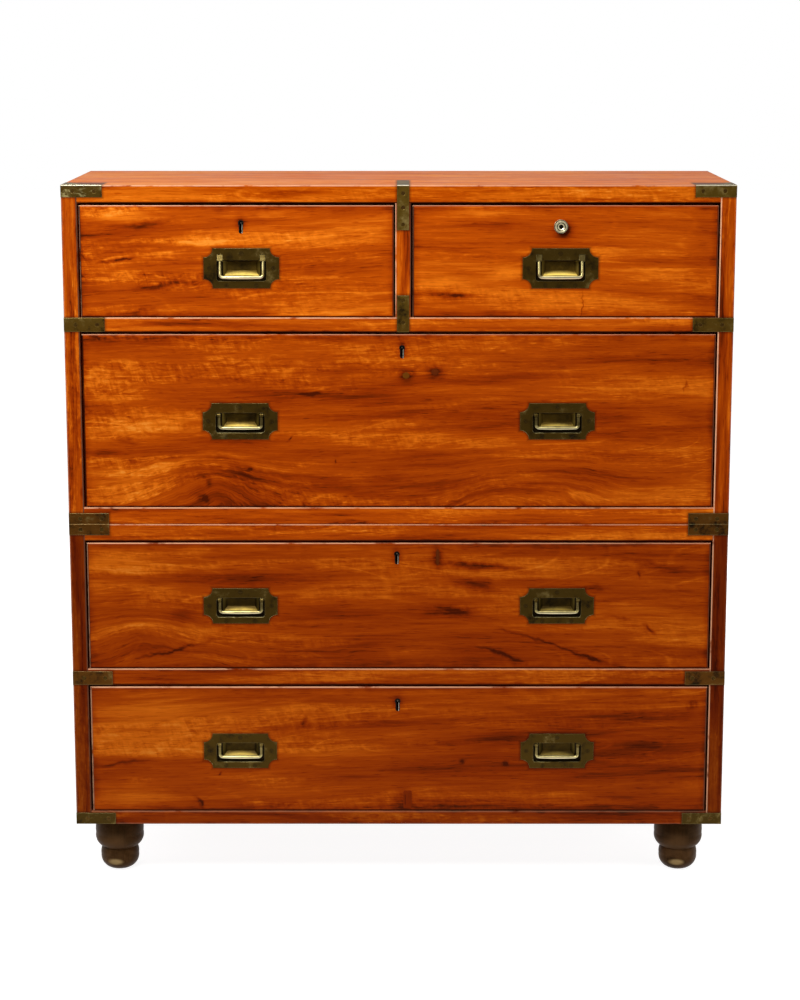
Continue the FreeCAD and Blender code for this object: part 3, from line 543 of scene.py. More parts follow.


# The five fronts. A patch, a spot or a swirl is x and z from the middle of the front, reach and rise,
# all in millimetres, then its slope, and how much it gilds (+), darkens (-) or lifts the grain lines
# (swirls, in metres). Patches have ragged outlines; spots, the dirt round plugs, have plain ones.
# The wear, with a painted highlight, is its width in millimetres, and its share along the left, right,
# bottom and top edge.
# The fronts' depth of stain is lower on the lower drawers: darker towards the bottom, partly the wood's own
# tone and partly painted shade.
FRONTS = {
    "short_left_drawer": dict(
        seed=3.1, depth=1.04, drift=9.0, lean=0.05, flame=(0.62, 0.16), streaks=0.28, flecks=0.20,
        wear_and_highlight=(1.7, (0.20, 0.10, 0.0, 0.95)),
        patches=[
            # dark streaks left of the handle, and a soft one right of it
            (-175, 2, 26, 2.2, 0.20, -0.45), (-140, 54, 46, 4.0, 0.12, -0.28),
            (-102, -34, 40, 4.5, 0.12, -0.34), (-150, -73, 32, 5.0, 0.14, -0.34),
            (150, -2, 95, 8, 0.06, -0.14),
            # golden flames
            (-49, 30, 38, 9, -0.10, 0.30), (-109, 14, 30, 6, 0.10, 0.26),
            (-177, -22, 34, 11, 0.05, 0.22), (-166, 68, 42, 8, 0.05, 0.18),
            (110, 29, 66, 6, 0.04, 0.20), (45, 72, 48, 7, 0.0, 0.20), (176, -76, 60, 7, 0.04, 0.22)]),
    "short_right_drawer": dict(
        seed=7.4, depth=1.04, drift=8.0, lean=-0.01, flame=(0.26, 0.16), streaks=0.26, flecks=0.20,
        middle=0.50,
        wear_and_highlight=(1.5, (0.10, 0.20, 0.0, 0.50)),
        patches=[
            # the dark knot line at the lower left, and painted shade at the right end
            (-167, -50, 38, 5, -0.04, -0.42), (-160, -51, 12, 2, 0.0, -0.26),
            (-96, 52, 46, 9, -0.05, -0.20), (205, 0, 26, 120, 0.0, -0.14),
            (28, -66, 1.2, 17, 0.0, -0.38),
            # pale bands
            (-120, 72, 72, 6, 0.0, 0.18), (-180, -30, 40, 8, 0.0, 0.18), (-86, -19, 26, 9, 0.2, 0.18),
            (136, -11, 80, 2.4, 0.0, 0.22)]),
    "deep_drawer": dict(
        seed=12.6, depth=0.93, drift=9.0, lean=0.02, flame=(0.60, 0.14), streaks=0.20, flecks=0.24,
        swirls=[(-285, -125, 92, 58, 0.0, -0.050), (-270, -100, 40, 26, -0.3, -0.020),
                (150, -120, 70, 50, 0.2, -0.030), (245, -105, 60, 40, 0.2, -0.022)],
        wear_and_highlight=(1.6, (0.0, 0.20, 0.0, 0.60)),
        spots=[(10.9, 68.8, 10, 9, 0.0, -0.45), (53.9, 73.8, 11, 9, 0.0, -0.50)],
        patches=[
            # the golden lower left corner and its flames
            (-395, -106, 62, 30, 0.25, 0.28), (-334, 3, 44, 10, 0.10, 0.24),
            (-404, -8, 36, 14, 0.0, 0.18), (-428, 33, 30, 7, 0.0, 0.22), (-330, -62, 40, 6, 0.28, 0.22),
            (-250, -52, 40, 4, -0.12, 0.24), (-330, 84, 110, 20, 0.0, -0.12),
            # the knot with its brown field
            (-446, -50, 26, 7, 0.05, -0.24), (-407, -31, 20, 5, 0.0, -0.20),
            (-250, -108, 74, 30, 0.0, -0.14), (-294, -117, 10, 6, -0.4, -0.36),
            (-288, -92, 5, 9, 0.0, -0.24), (-240, -75, 30, 14, -0.4, -0.16),
            # small marks, the golden lower right corner, and painted shade at the right end
            (-172, 72, 18, 6, 0.35, 0.26), (-130, 41, 14, 2.2, 0.0, -0.40),
            (356, -113, 110, 10, 0.02, 0.28), (384, 5, 36, 10, -0.1, 0.20),
            (425, 54, 2.2, 8, 0.0, -0.34), (-164, -26, 3.0, 2.5, 0.8, -0.45),
            (-222, -75, 5, 2.5, 0.0, -0.36), (-98, -61, 2.6, 3.0, 0.8, -0.36),
            (60, -100, 150, 26, 0.0, -0.12), (300, 0, 180, 130, 0.0, -0.08)]),
    "middle_drawer": dict(
        seed=21.3, depth=0.78, drift=10.0, flame=(0.34, 0.18), streaks=0.30, flecks=0.14,
        swirls=[(-385, -48, 66, 44, 0.0, -0.028), (-300, -88, 60, 30, 0.25, -0.014)],
        wear_and_highlight=(2.0, (0.35, 0.15, 0.0, 0.95)), spots=[(58.6, 75.3, 8, 17, 0.0, -0.45)],
        patches=[
            # golden upper left corner over a long dark band, with an oval swirl below
            (-400, 70, 80, 16, 0.0, 0.18), (-241, 40, 130, 9, 0.0, -0.28),
            (-345, -70, 66, 2.6, 0.26, -0.34), (-326, -14, 28, 14, 0.2, -0.24),
            (-390, -46, 40, 22, 0.0, -0.12), (-392, -30, 44, 5, 0.1, 0.12),
            # dark streaks round the middle and at the right
            (122, 62, 62, 5.0, -0.08, -0.66), (123, 31, 34, 10, -0.2, -0.38),
            (82, -8, 44, 7, 0.0, -0.56), (154, -75, 28, 3.5, -0.40, -0.38),
            (224, -58, 80, 2.4, -0.32, -0.28), (290, -80, 22, 4, -0.35, -0.38),
            (384, 64, 42, 5, -0.2, -0.34), (367, 50, 2.5, 6, 0.0, -0.34), (297, 29, 28, 4, 0.0, -0.26),
            (381, -36, 7, 5, -0.8, -0.50), (333, -18, 24, 3, -0.1, -0.28),
            (-60, -60, 150, 24, 0.0, -0.08), (215, 60, 36, 9, 0.0, 0.14),
            (40, -84, 70, 11, -0.1, 0.14)]),
    "bottom_drawer": dict(
        seed=33.8, depth=0.80, drift=9.0, lean=0.03, flame=(0.44, 0.14), streaks=0.15, flecks=0.12,
        wear_and_highlight=(2.6, (0.50, 0.15, 0.0, 1.00)), spots=[(8.0, -81.6, 13, 22, 0.0, -0.24)],
        patches=[
            # golden flames at the left, with painted light there, fading to painted shade at the right end
            (-380, 56, 100, 30, 0.10, 0.22), (-415, -72, 60, 18, 0.05, 0.24),
            (-330, 0, 130, 90, 0.0, 0.12), (110, -10, 150, 110, 0.0, -0.08),
            (340, 0, 180, 130, 0.0, -0.16),
            # knots and small marks
            (-307, -84, 6, 5, -0.8, -0.55), (-141, 44, 6, 7, 0.6, -0.42),
            (-424, -23, 36, 3.0, 0.1, -0.36), (-271, -39, 3, 3, 0.0, -0.40),
            (380, 8, 40, 7, 0.0, -0.20), (446, 70, 4, 6, 1.0, -0.36), (95, -20, 6, 4, 0.0, -0.34),
            (161, -22, 5, 4, 0.0, -0.34)]),
}
# How dark the grime and painted gap shade are along the left, right, bottom and top edge of a front, and
# the noise that breaks these dark lines on every board.
FRONT_GRIME_AND_SHADE = (0.95, 0.7, 0.9, 0.0)
GRIME_AND_SHADE_COVER = (0.2, 0.4)

# The boards of the cases: the way of the grain, a seed, the depth of stain, and the share of wear with
# painted highlight and of grime with painted shade along the left, right, bottom and top of the front edge.
# The lower case's side boards have the least depth: darker towards the bottom, partly the wood's own tone
# and partly painted shade.
BOARDS = {
    "upper_top": ("X", 41.0, 0.94, (0.2, 0.2, 0.0, 0.95), (0.0, 0.0, 0.9, 0.0)),
    "upper_bottom": ("X", 43.5, 1.06, (0.0, 0.0, 0.0, 0.95), (0.0, 0.0, 0.4, 0.0)),
    "lower_top": ("X", 45.2, 0.94, (0.0, 0.0, 0.0, 0.70), (0.0, 0.0, 0.8, 0.0)),
    "lower_bottom": ("X", 47.9, 0.60, (0.0, 0.0, 0.15, 0.25), (0.0, 0.0, 0.0, 0.0)),
    "upper_rail": ("X", 49.3, 1.02, (0.0, 0.0, 0.0, 1.00), (0.0, 0.0, 0.8, 0.0)),
    "lower_rail": ("X", 51.7, 0.76, (0.0, 0.0, 0.0, 0.90), (0.0, 0.0, 0.8, 0.0)),
    "upper_divider": ("Z", 53.1, 0.96, (0.80, 0.10, 0.0, 0.0), (0.0, 0.8, 0.0, 0.0)),
    "upper_left_side": ("Z", 55.8, 0.88, (0.25, 0.15, 0.0, 0.0), (0.0, 0.9, 0.0, 0.0)),
    "upper_right_side": ("Z", 57.2, 0.92, (1.00, 0.20, 0.0, 0.0), (0.0, 0.0, 0.0, 0.0)),
    "lower_left_side": ("Z", 59.6, 0.33, (0.25, 0.15, 0.0, 0.0), (0.0, 0.8, 0.0, 0.0)),
    "lower_right_side": ("Z", 61.4, 0.34, (0.75, 0.20, 0.0, 0.0), (0.0, 0.0, 0.0, 0.0)),
}
BOARD_PATCHES = {
    "upper_top": [(-300, 0, 260, 60, 0.0, 0.10)],
    "upper_right_side": [(0, -130, 200, 150, 0.0, -0.22)],
    "upper_left_side": [(0, -150, 200, 60, 0.0, -0.12)],
}


def board_finish(node, case_brass):
    """The finish of one board of a case."""
    grain, seed, depth, wear_and_highlight, grime = BOARDS[node]
    wood = Wood(node + "_wood", node, grain, seed, depth, TOP_GLOSS if node == "upper_top" else GLOSS)
    line, streaks = (1.4, 0.34) if grain == "X" else (2.2, 0.50)
    wood.grow(drift=6.0, broad=0.9, line=line, streaks=streaks, flame=(0.3, 0.3), flecks=0.28, middle=0.5,
              patches=BOARD_PATCHES.get(node, ()))
    wood.dirty_edges(7.0)
    if node == "upper_top":
        # painted sheen: the top face of the top board is made lighter
        painted_top_sheen = wood.ease(wood.axes[2], wood.high.z - 0.6 * MM, wood.high.z - 0.2 * MM)
        wood.tone = wood.weighed(painted_top_sheen, 0.28, wood.tone)
    wood.stain()
    settings = wood.settings
    # dark lines along the gaps next to the drawers: grime and painted shade
    wood.edge_line(settings.grime, grime, 2.4 * MM, cover=GRIME_AND_SHADE_COVER)
    # pale lines along the arrises: bare wood and painted highlight
    wood.edge_line(settings.bare, wear_and_highlight, settings.arris, 0.6)
    wood.seats([seat for seat in case_brass if near_board(seat, wood.low, wood.high)])
    return wood.polished(settings.rounding)


def front_finish(drawer):
    """The finish of one drawer front."""
    look = dict(FRONTS[drawer])
    node = drawer + "_front"
    wood = Wood(node + "_wood", node, "X", look.pop("seed"), look.pop("depth"))
    width, wear_and_highlight = look.pop("wear_and_highlight")
    key = (key_place(drawer + "_brass") - wood.middle) / MM
    # Below right of the barrel lock's nozzle the wood is darkened as a painted shadow; round a keyhole it
    # has a halo of dirt.
    if drawer == BARREL_DRAWER:
        lock_grime_and_shadow = (key.x + 4.0, key.z - 4.5, 11, 11, 0.0, -0.70)
    else:
        lock_grime_and_shadow = (key.x, key.z - 1.0, 7, 12, 0.0, -0.34)
    wood.grow(spots=[*look.pop("spots", ()), lock_grime_and_shadow], **look)
    wood.dirty_edges()
    wood.stain()
    # dark lines along the gaps round the front: grime and painted shade
    wood.edge_line(wood.settings.grime, FRONT_GRIME_AND_SHADE, 3.0 * MM, cover=GRIME_AND_SHADE_COVER)
    # pale lines along the arrises: bare wood and painted highlight
    wood.edge_line(wood.settings.bare, wear_and_highlight, width * MM, 0.55)
    wood.seats(plate_seats(drawer + "_brass"))
    return wood.polished()


def bare_finish(name, node, grain, seed, tint, contrast=0.6):
    """Planed wood that was never polished."""
    wood = Wood(name, node, grain, seed)
    wood.grow(drift=8.0, broad=contrast, line=0.5, streaks=0.25, flame=(0.1, 0.1), flecks=0.1, middle=0.55)
    wood.paint = wood.shades(wood.tone, tint, (0.0, 0.42), (0.35, 0.78), (0.6, 1.0), (1.0, 1.35))
    return wood.show(wood.weighed(wood.fine, 0.2, 0.55), wood.fine, 0.2, 0.6)


def turned_finish():
    """The dark stained feet: rings of the turner's tool, a painted sheen on each upper bulge, a scuff low
    on the front of each that is also a painted reflection, and a painted reflection of the red case at the
    top.
    """
    wood = Wood("foot_wood", "feet", "Z", 71.0, gloss=FOOT_GLOSS)
    wood.grow(drift=3.0, broad=1.2, line=0.5, streaks=0.3, flame=(0.1, 0.1), flecks=0.1)
    height = wood.axes[2]
    sideways, forwards, _ = wood.split(wood.add("ShaderNodeNewGeometry").outputs["Normal"])
    facing = wood.ease(forwards, -0.3, -0.6)

    def spot(level, rise, reach, strength):
        """A soft spot on the front of each foot, at a level and with a rise in millimetres."""
        aside = wood.weighed(wood.total(sideways, 0.14), 1 / reach)
        off = wood.combined(aside, wood.weighed(height, 1 / (rise * MM), -level / rise), 0.0)
        return wood.product(wood.ease(wood.vector("LENGTH", off), 1.0, 0.35, 0.0, strength), facing)

    wood.paint = wood.shades(wood.tone, wood.settings.foot, (0.1, 0.3), (0.5, 0.9), (0.95, 1.9))
    cloud = wood.noise(wood.point, (30, 30, 44), 4.0, 3.0, 0.6, 0.5)
    rubbed = wood.product(wood.ease(cloud, 0.40, 0.66), wood.ease_mm(height, 62, 20, 0.25, 0.5))
    wood.coat(rubbed, shade(104, 72, 44))
    # painted sheen on the front of the upper bulge
    wood.coat(spot(50.0, 20.0, 0.75, 0.5), shade(104, 74, 46))
    # a scuff low on the front, which is also a painted reflection of the floor
    wood.coat(spot(15.5, 6.8, 0.50, 0.85), shade(186, 156, 106))
    # painted reflection of the case's red wood on the top of each foot
    wood.coat(wood.ease_mm(height, 80, 90, 0.0, 0.6), shade(110, 48, 14))
    rings = wood.noise(wood.point, (3, 3, 420), 2.0, 2.0)
    return wood.show(wood.weighed(rings, 0.25, 0.34), rings, 0.4, 0.5)


# ---------------------------------------------------------------- brass

class Metal(Finish):
    """Cast and sheet metal, with patina, scratches and rubbed, slightly rounded edges."""

    def __init__(self, name, edge=None, **constants):
        super().__init__(name, **constants)
        self.settings = bpy.context.scene.chest_brass
        self.rounded = self.add("ShaderNodeBevel", [edge or self.settings.edge], samples=6)

    def worn_edges(self, seed, cover=(0.3, 0.55)):
        """From 0 on flat metal to 1 on its edges, broken here and there."""
        plain = self.add("ShaderNodeNewGeometry").outputs["Normal"]
        edge = self.ease(self.vector("DOT_PRODUCT", self.rounded, plain), 0.99, 0.85)
        return self.product(edge, self.ease(self.speckle(70, seed, 2.0), *cover))

    def scratches(self, seed):
        """Thin scratches in two directions."""
        x, y, z = self.split(self.point)
        lines = []
        for slope in (0.35, -2.0):
            tilted = self.total(x, self.weighed(z, slope)), y, self.total(z, self.weighed(x, -slope))
            fine = self.noise(self.combined(*tilted), (60, 60, 1500), seed, 1.0)
            lines.append(self.ease(fine, 0.66, 0.74))
        return self.most(*lines)

    def patina(self, seed, skin, contrast=1.0):
        """Paint old brass from grime through its skin to bare metal, and give its mottling."""
        mottled = self.speckle(52, seed, 5.0, 0.65)
        cloud = self.speckle(15, seed + 3, 2.0)
        tone = self.total(self.weighed(mottled, 1.3 * contrast, 0.47 - 0.65 * contrast),
                          self.weighed(cloud, 0.7 * contrast, -0.35 * contrast),
                          self.weighed(self.scratches(seed), 0.14))
        self.paint = skin
        self.coat(self.ease(tone, 0.45, 0.05), self.settings.grime)
        self.coat(self.ease(tone, 0.55, 1.05), self.settings.rubbed)
        return mottled

    def from_plate(self, seats, across):
        """How far along and up a point is from the nearest handle plate's middle, both ends alike."""
        places = [seat[0] for seat in seats]
        mean = sum(place[across] for place in places) / len(places)
        reach = max(place[across] for place in places) - mean
        axes = self.split(self.point)
        off = self.less(axes[across], mean)
        if reach > 1 * MM:
            off = self.less(self.number("ABSOLUTE", off), reach)
        return self.number("ABSOLUTE", off), self.less(axes[2], places[0].z)

    def screw_heads(self, along, up, places):
        """From 0 on the plate to 1 on the heads of its screws."""
        spot = self.combined(along, up, 0.0)
        away = [self.vector("LENGTH", self.vector("SUBTRACT", spot, (right * MM, rise * MM, 0.0)))
                for right, rise in places]
        return self.ease_mm(self.least(*away), 3.9, 3.3)


# How bright the wells' slopes are rubbed, and how light their backs are; it is lower on the lower drawers
# as painted shade.
WELL_RUB_AND_LIGHT = {"short_left_drawer": 0.75, "short_right_drawer": 0.95, "deep_drawer": 0.70,
              "middle_drawer": 0.40, "bottom_drawer": 0.35}
# The screws of a plate, along and up from its middle in millimetres; the short drawers' plates are
# tall, with a half height over TALL_PLATE.
TALL_PLATE_SCREWS = ((0.0, 21.7), (47.1, 0.0), (22.0, -25.2))
LOW_PLATE_SCREWS = ((0.0, 20.9), (47.1, 0.0), (22.0, -23.3))
TALL_PLATE = 28 * MM
NOZZLE_RADIUS = 10.4 * MM


def plate_finish(name, seed, seats, inward, start, across=0, well_rub_and_light=0.6):
    """A flush handle's plate: patina, a channel painted dark as shade, a lower lip with a painted
    highlight, and a well whose lower slope fingers rub bright and whose back is painted darker as shade.
    """
    metal = Metal(name, Metallic=0.85)
    brass = metal.settings
    mottled = metal.patina(seed, brass.plate)
    along, up = metal.from_plate(seats, across)
    is_tall = seats[0][1].z > TALL_PLATE
    heads = metal.screw_heads(along, up, TALL_PLATE_SCREWS if is_tall else LOW_PLATE_SCREWS)
    edges = metal.product(metal.worn_edges(seed + 7), metal.weighed(heads, -1.0, 1.0))
    # worn edges made brighter along the channel's lower lip: painted highlight
    lip_highlight = metal.least(metal.ease_mm(up, -12.0, -15.0, 0.22, 0.30 if is_tall else 0.85),
                      metal.ease_mm(up, -23.0, -21.0, 0.22, 1.0))
    metal.coat(metal.product(edges, lip_highlight), brass.bright)
    metal.coat(metal.weighed(heads, 0.35), brass.grime)
    depth = metal.less(metal.vector("DOT_PRODUCT", metal.point, inward), start)
    # the channel and the well are painted nearly black: painted shade in the recess
    metal.coat(metal.ease_mm(depth, 1.0, 2.6, 0.0, 0.9), brass.grime)
    bow = metal.product(along, along, 6.0)
    sill = metal.ease_mm(metal.total(up, bow), -3.0, -9.0, 0.0, well_rub_and_light)
    side = metal.ease_mm(along, 21.0, 27.0, 0.0, well_rub_and_light * 0.6)
    rubbed = metal.product(metal.most(sill, side), metal.ease(mottled, 0.3, 0.5, 0.6, 1.0))
    # the back of the well is painted darker, and more so in the dimmer wells: painted shade
    dim = 0.25 + 0.75 * well_rub_and_light
    back = metal.ramp(mottled, [(0.3, Vector(brass.plate) * 0.4 * dim), (0.6, Vector(brass.patina) * dim)])
    deep = metal.ease_mm(depth, 6.6, 7.6)
    metal.coat(deep, metal.tint(rubbed, back, brass.well))
    roughness = metal.weighed(metal.product(deep, rubbed), -0.12, metal.weighed(mottled, 0.3, 0.30))
    return metal.show(roughness, mottled, 0.15, 0.35, metal.rounded)


def strap_finish():
    """Sheet brass straps: olive at the top of the chest, browner lower down, with a painted highlight along
    the top edge.
    """
    metal = Metal("strap_brass", 1.4 * MM, Metallic=0.85)
    brass = metal.settings
    x, y, height = metal.split(metal.point)
    skin = metal.tint(metal.ease(height, 0.92, 0.72), brass.patina, brass.tarnish)
    skin = metal.tint(metal.ease(height, 0.18, 0.12), skin, Vector(brass.plate) * 0.8)
    mottled = metal.patina(161.0, skin, 1.3)
    # the upper left corner is dirtier than the others, and smeared
    corner = metal.product(metal.ease(height, 0.98, 1.03), metal.ease(x, -0.40, -0.44))
    metal.coat(metal.weighed(corner, 0.35), brass.grime)
    smear = metal.noise(metal.point, (36, 60, 90), 6.0, 4.0, 0.6, 0.6)
    metal.coat(metal.product(metal.ease(smear, 0.50, 0.66, 0.0, 0.55), corner), brass.bright)
    metal.coat(metal.weighed(metal.worn_edges(168.0, (0.2, 0.5)), 0.18), brass.bright)
    # painted highlight: a cream line along the top front edge
    top = CAD_BOX[1].z
    crest_highlight = metal.product(metal.ease(height, top - 1.6 * MM, top - 0.9 * MM),
                          metal.ease(y, FRONT_FACE + 1.6 * MM, FRONT_FACE + 0.9 * MM))
    metal.coat(metal.weighed(crest_highlight, 0.9), shade(255, 246, 214))
    return metal.show(metal.weighed(mottled, 0.3, 0.3), mottled, 0.2, 0.4, metal.rounded)


def screw_finish():
    """The straps' screws, brown and mottled with dirt."""
    metal = Metal("strap_screw_brass", Metallic=0.8)
    brass = metal.settings
    worn = metal.speckle(240, 162.0, 3.0)
    metal.paint = metal.ramp(worn, [(0.3, Vector(brass.tarnish) * 0.5), (0.7, Vector(brass.patina) * 0.8)])
    return metal.show(0.45, worn, 0.1, 0.3)


def bail_finish(name, dirt_and_shade):
    """Bails: the lower bar kept bright by hands and painted brighter as a highlight, the arms darkened with
    dirt and painted shade, and patina on the knuckles.
    """
    metal = Metal(name, Metallic=1.0)
    brass = metal.settings
    mottled = metal.speckle(80, 3.0, 4.0, 0.6)
    bright = Vector(brass.bright)
    metal.paint = metal.ramp(mottled, [(0.25, brass.rubbed), (0.5, bright * 0.7), (0.8, bright * 0.9)])
    skin = metal.ramp(mottled, [(0.3, Vector(brass.plate) * 0.8), (0.7, Vector(brass.rubbed) * 0.6)])
    height = metal.split(metal.add("ShaderNodeTexCoord").outputs["Generated"])[2]
    # painted highlight: a near-white band along the lower bar
    metal.coat(metal.ease(height, 0.16, 0.06, 0.0, 0.65), shade(255, 244, 206))
    # the arms darkened: dirt and painted shade
    metal.coat(metal.ease(height, 0.20, 0.34, 0.0, dirt_and_shade), skin)
    metal.coat(metal.ease(height, 0.70, 0.76, 0.0, 0.9), skin)
    return metal.show(metal.weighed(mottled, 0.2, 0.22), metal.scratches(9.0), 0.05, 0.3, metal.rounded)


def liner_finish(name, place):
    """A keyhole's liner, nearly black with dirt and painted shade in the hole, with a painted glint on the
    right of its foot.
    """
    metal = Metal(name, Metallic=0.7)
    x, _, z = metal.split(metal.point)
    off = metal.number("ABSOLUTE", metal.less(x, place.x + 1.6 * MM))
    foot = metal.ease(z, place.z + 1.0 * MM, place.z - 5.0 * MM, 0.0, 0.9)
    worn = metal.speckle(260, 5.0, 2.0)
    metal.paint = metal.shades(worn, metal.settings.grime, (0.3, 0.2), (0.7, 0.6))
    # painted highlight: a thin glint inside the right of the liner's foot
    metal.coat(metal.product(metal.ease_mm(off, 0.6, 0.1), foot), shade(255, 246, 224))
    return metal.show(metal.weighed(worn, 0.3, 0.4), worn, 0.08, 0.3)


def barrel_finish(place):
    """The nickelled nozzle of the barrel lock: painted turned rings round a black middle; the dark rings
    and the black middle are dirt and painted shade of the grooves and the hole.
    """
    metal = Metal("barrel_lock_nickel", 0.5 * MM, Metallic=0.75)
    brass = metal.settings
    x, _, z = metal.split(metal.point)
    across = metal.combined(metal.less(x, place.x), 0.0, metal.less(z, place.z))
    radius = metal.number("DIVIDE", metal.vector("LENGTH", across), NOZZLE_RADIUS)
    nickel, dirt_and_shade = Vector(brass.nickel), Vector(brass.grime)
    # dark stops: dirt and painted shade of the grooves between the rings and of the hole in the middle
    stops = [(0.30, dirt_and_shade * 0.2), (0.35, nickel), (0.46, nickel), (0.51, dirt_and_shade * 0.3), (0.58, dirt_and_shade * 0.8),
             (0.64, nickel * 0.7), (0.74, nickel), (0.84, nickel), (0.88, dirt_and_shade * 0.2),
             (0.93, dirt_and_shade * 0.4), (0.98, nickel)]
    metal.paint = metal.ramp(radius, stops)
    worn = metal.speckle(300, 5.0, 4.0, 0.6)
    metal.coat(metal.ease(worn, 0.5, 0.3, 0.0, 0.4), brass.patina)
    return metal.show(metal.weighed(worn, 0.3, 0.24), worn, 0.06, 0.3, metal.rounded)


def plain_metal_finish(name, tint, roughness, scale, metallic=1.0):
    """Metal with an even tint and fine wear."""
    metal = Metal(name, Metallic=metallic)
    worn = metal.speckle(scale, 5.0, 4.0, 0.6)
    metal.paint = metal.shades(worn, tint, (0.25, 0.5), (0.5, 1.0), (0.85, 1.1))
    return metal.show(metal.weighed(worn, 0.3, roughness), worn, 0.08, 0.3, metal.rounded)


# ---------------------------------------------------------------- new pieces

# The old plugs and patches in the fronts. Each has a grain, a seed and a shade, a place x, z and a half
# width and height in millimetres, and how square its outline is.
REPAIRS = {
    "deep_drawer_left_plug": ("Y", 171.0, (116, 62, 7), 10.9, 68.8, 5.2, 4.8, 2.0),
    "deep_drawer_right_plug": ("Y", 173.0, (100, 36, 4), 53.9, 73.8, 5.6, 4.4, 2.2),
    "middle_drawer_scar": ("Z", 174.0, (104, 42, 8), 58.6, 75.3, 2.6, 12.5, 2.6),
    "bottom_drawer_patch": ("Z", 172.0, (128, 40, 2), 13.5, -80.6, 6.5, 14.5, 8.0),
    "bottom_drawer_seam": ("Z", 175.0, (84, 22, 4), 10.0, -80.6, 1.0, 13.5, 6.0),
}
# The rings of a repair's low cushion: the share of its size, and millimetres behind the front's face.
CUSHION = ((1.0, 0.30), (1.0, -0.04), (0.9, -0.12), (0.5, -0.14))
OUTLINE_POINTS = 48


def placed(name, data):
    """A new object in the scene."""
    piece = bpy.data.objects.new(name, data)
    bpy.context.scene.collection.objects.link(piece)
    return piece


def placed_mesh(name, points, faces, material):
    """A new mesh in the scene."""
    mesh = bpy.data.meshes.new(name)
    mesh.from_pydata(points, [], faces)
    mesh.materials.append(material)
    return placed(name, mesh)


def repair(name, drawer):
    """A thin plug or patch let into a drawer front: a low cushion with a rounded outline."""
    grain, seed, tint, x, z, half_width, half_height, square = REPAIRS[name]
    low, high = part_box(drawer + "_front")
    middle = (low + high) / 2
    points = []
    for scale, depth in CUSHION:
        for step in range(OUTLINE_POINTS):
            angle = 2 * math.pi * step / OUTLINE_POINTS
            reach = [math.copysign(abs(v) ** (2 / square), v) for v in (math.cos(angle), math.sin(angle))]
            points.append((middle.x + (x + reach[0] * half_width * scale) * MM, low.y + depth * MM,
                           middle.z + (z + reach[1] * half_height * scale) * MM))
    faces = []
    for inner in range(OUTLINE_POINTS, len(points), OUTLINE_POINTS):
        outer = inner - OUTLINE_POINTS
        for step in range(OUTLINE_POINTS):
            after = (step + 1) % OUTLINE_POINTS
            faces.append((outer + step, inner + step, inner + after, outer + after))
    faces.append(tuple(range(OUTLINE_POINTS)))
    faces.append(tuple(reversed(range(len(points) - OUTLINE_POINTS, len(points)))))
    wood = bare_finish(name + "_wood", drawer + "_front", grain, seed, shade(*tint))
    piece = placed_mesh(name, points, faces, wood)
    piece.data.shade_smooth()
    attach(piece, drawer)


# ---------------------------------------------------------------- operators

class CHEST_OT_case_boards(bpy.types.Operator):
    """Polish the tops, bottoms, sides, rails and divider of both cases"""

    bl_idname = "chest.case_boards"
    bl_label = "Case boards"

    def execute(self, context):
        for case in CASES:
            brass = case_seats(case)
            for node in BOARDS:
                if node.startswith(case):
                    dress(node, board_finish(node, brass))
        return {"FINISHED"}


class CHEST_OT_drawer_fronts(bpy.types.Operator):
    """Polish the five figured drawer fronts"""

    bl_idname = "chest.drawer_fronts"
    bl_label = "Drawer fronts"

    def execute(self, context):
        for drawer in DRAWERS:
            dress(drawer + "_front", front_finish(drawer))
        return {"FINISHED"}


class CHEST_OT_drawer_linings(bpy.types.Operator):
    """Plane the sides, backs and bottoms of the drawers"""

    bl_idname = "chest.drawer_linings"
    bl_label = "Drawer linings"

    def execute(self, context):
        lining = Vector(context.scene.chest_wood.lining)
        for number, drawer in enumerate(DRAWERS):
            box, bottom = drawer + "_box", drawer + "_bottom"
            side = bare_finish(drawer + "_side_wood", box, "Y", 80.0 + number, lining)
            back = bare_finish(drawer + "_back_wood", box, "X", 90.0 + number, lining)
            dress(box, side, back, choose=lambda low, high: int(high.x - low.x > 0.1))
            dress(bottom, bare_finish(bottom + "_wood", bottom, "X", 100.0 + number, lining * 1.1, 0.4))
        return {"FINISHED"}


class CHEST_OT_carcase(bpy.types.Operator):
    """Finish the back boards, runners and locating pegs"""

    bl_idname = "chest.carcase"
    bl_label = "Backs, runners and pegs"

    def execute(self, context):
        lining = Vector(context.scene.chest_wood.lining)
        for number, case in enumerate(CASES):
            back, runners = case + "_back", case + "_runners"
            dress(back, bare_finish(back + "_wood", back, "Z", 110.0 + number, lining * 0.55, 0.9))
            dress(runners, bare_finish(runners + "_wood", runners, "Y", 120.0 + number, lining * 0.7))
        dress("locating_pegs", bare_finish("peg_wood", "locating_pegs", "Z", 130.0, lining * 0.8))
        return {"FINISHED"}


class CHEST_OT_feet(bpy.types.Operator):
    """Stain the four turned feet"""

    bl_idname = "chest.feet"
    bl_label = "Turned feet"

    def execute(self, context):
        dress("feet", turned_finish())
        return {"FINISHED"}


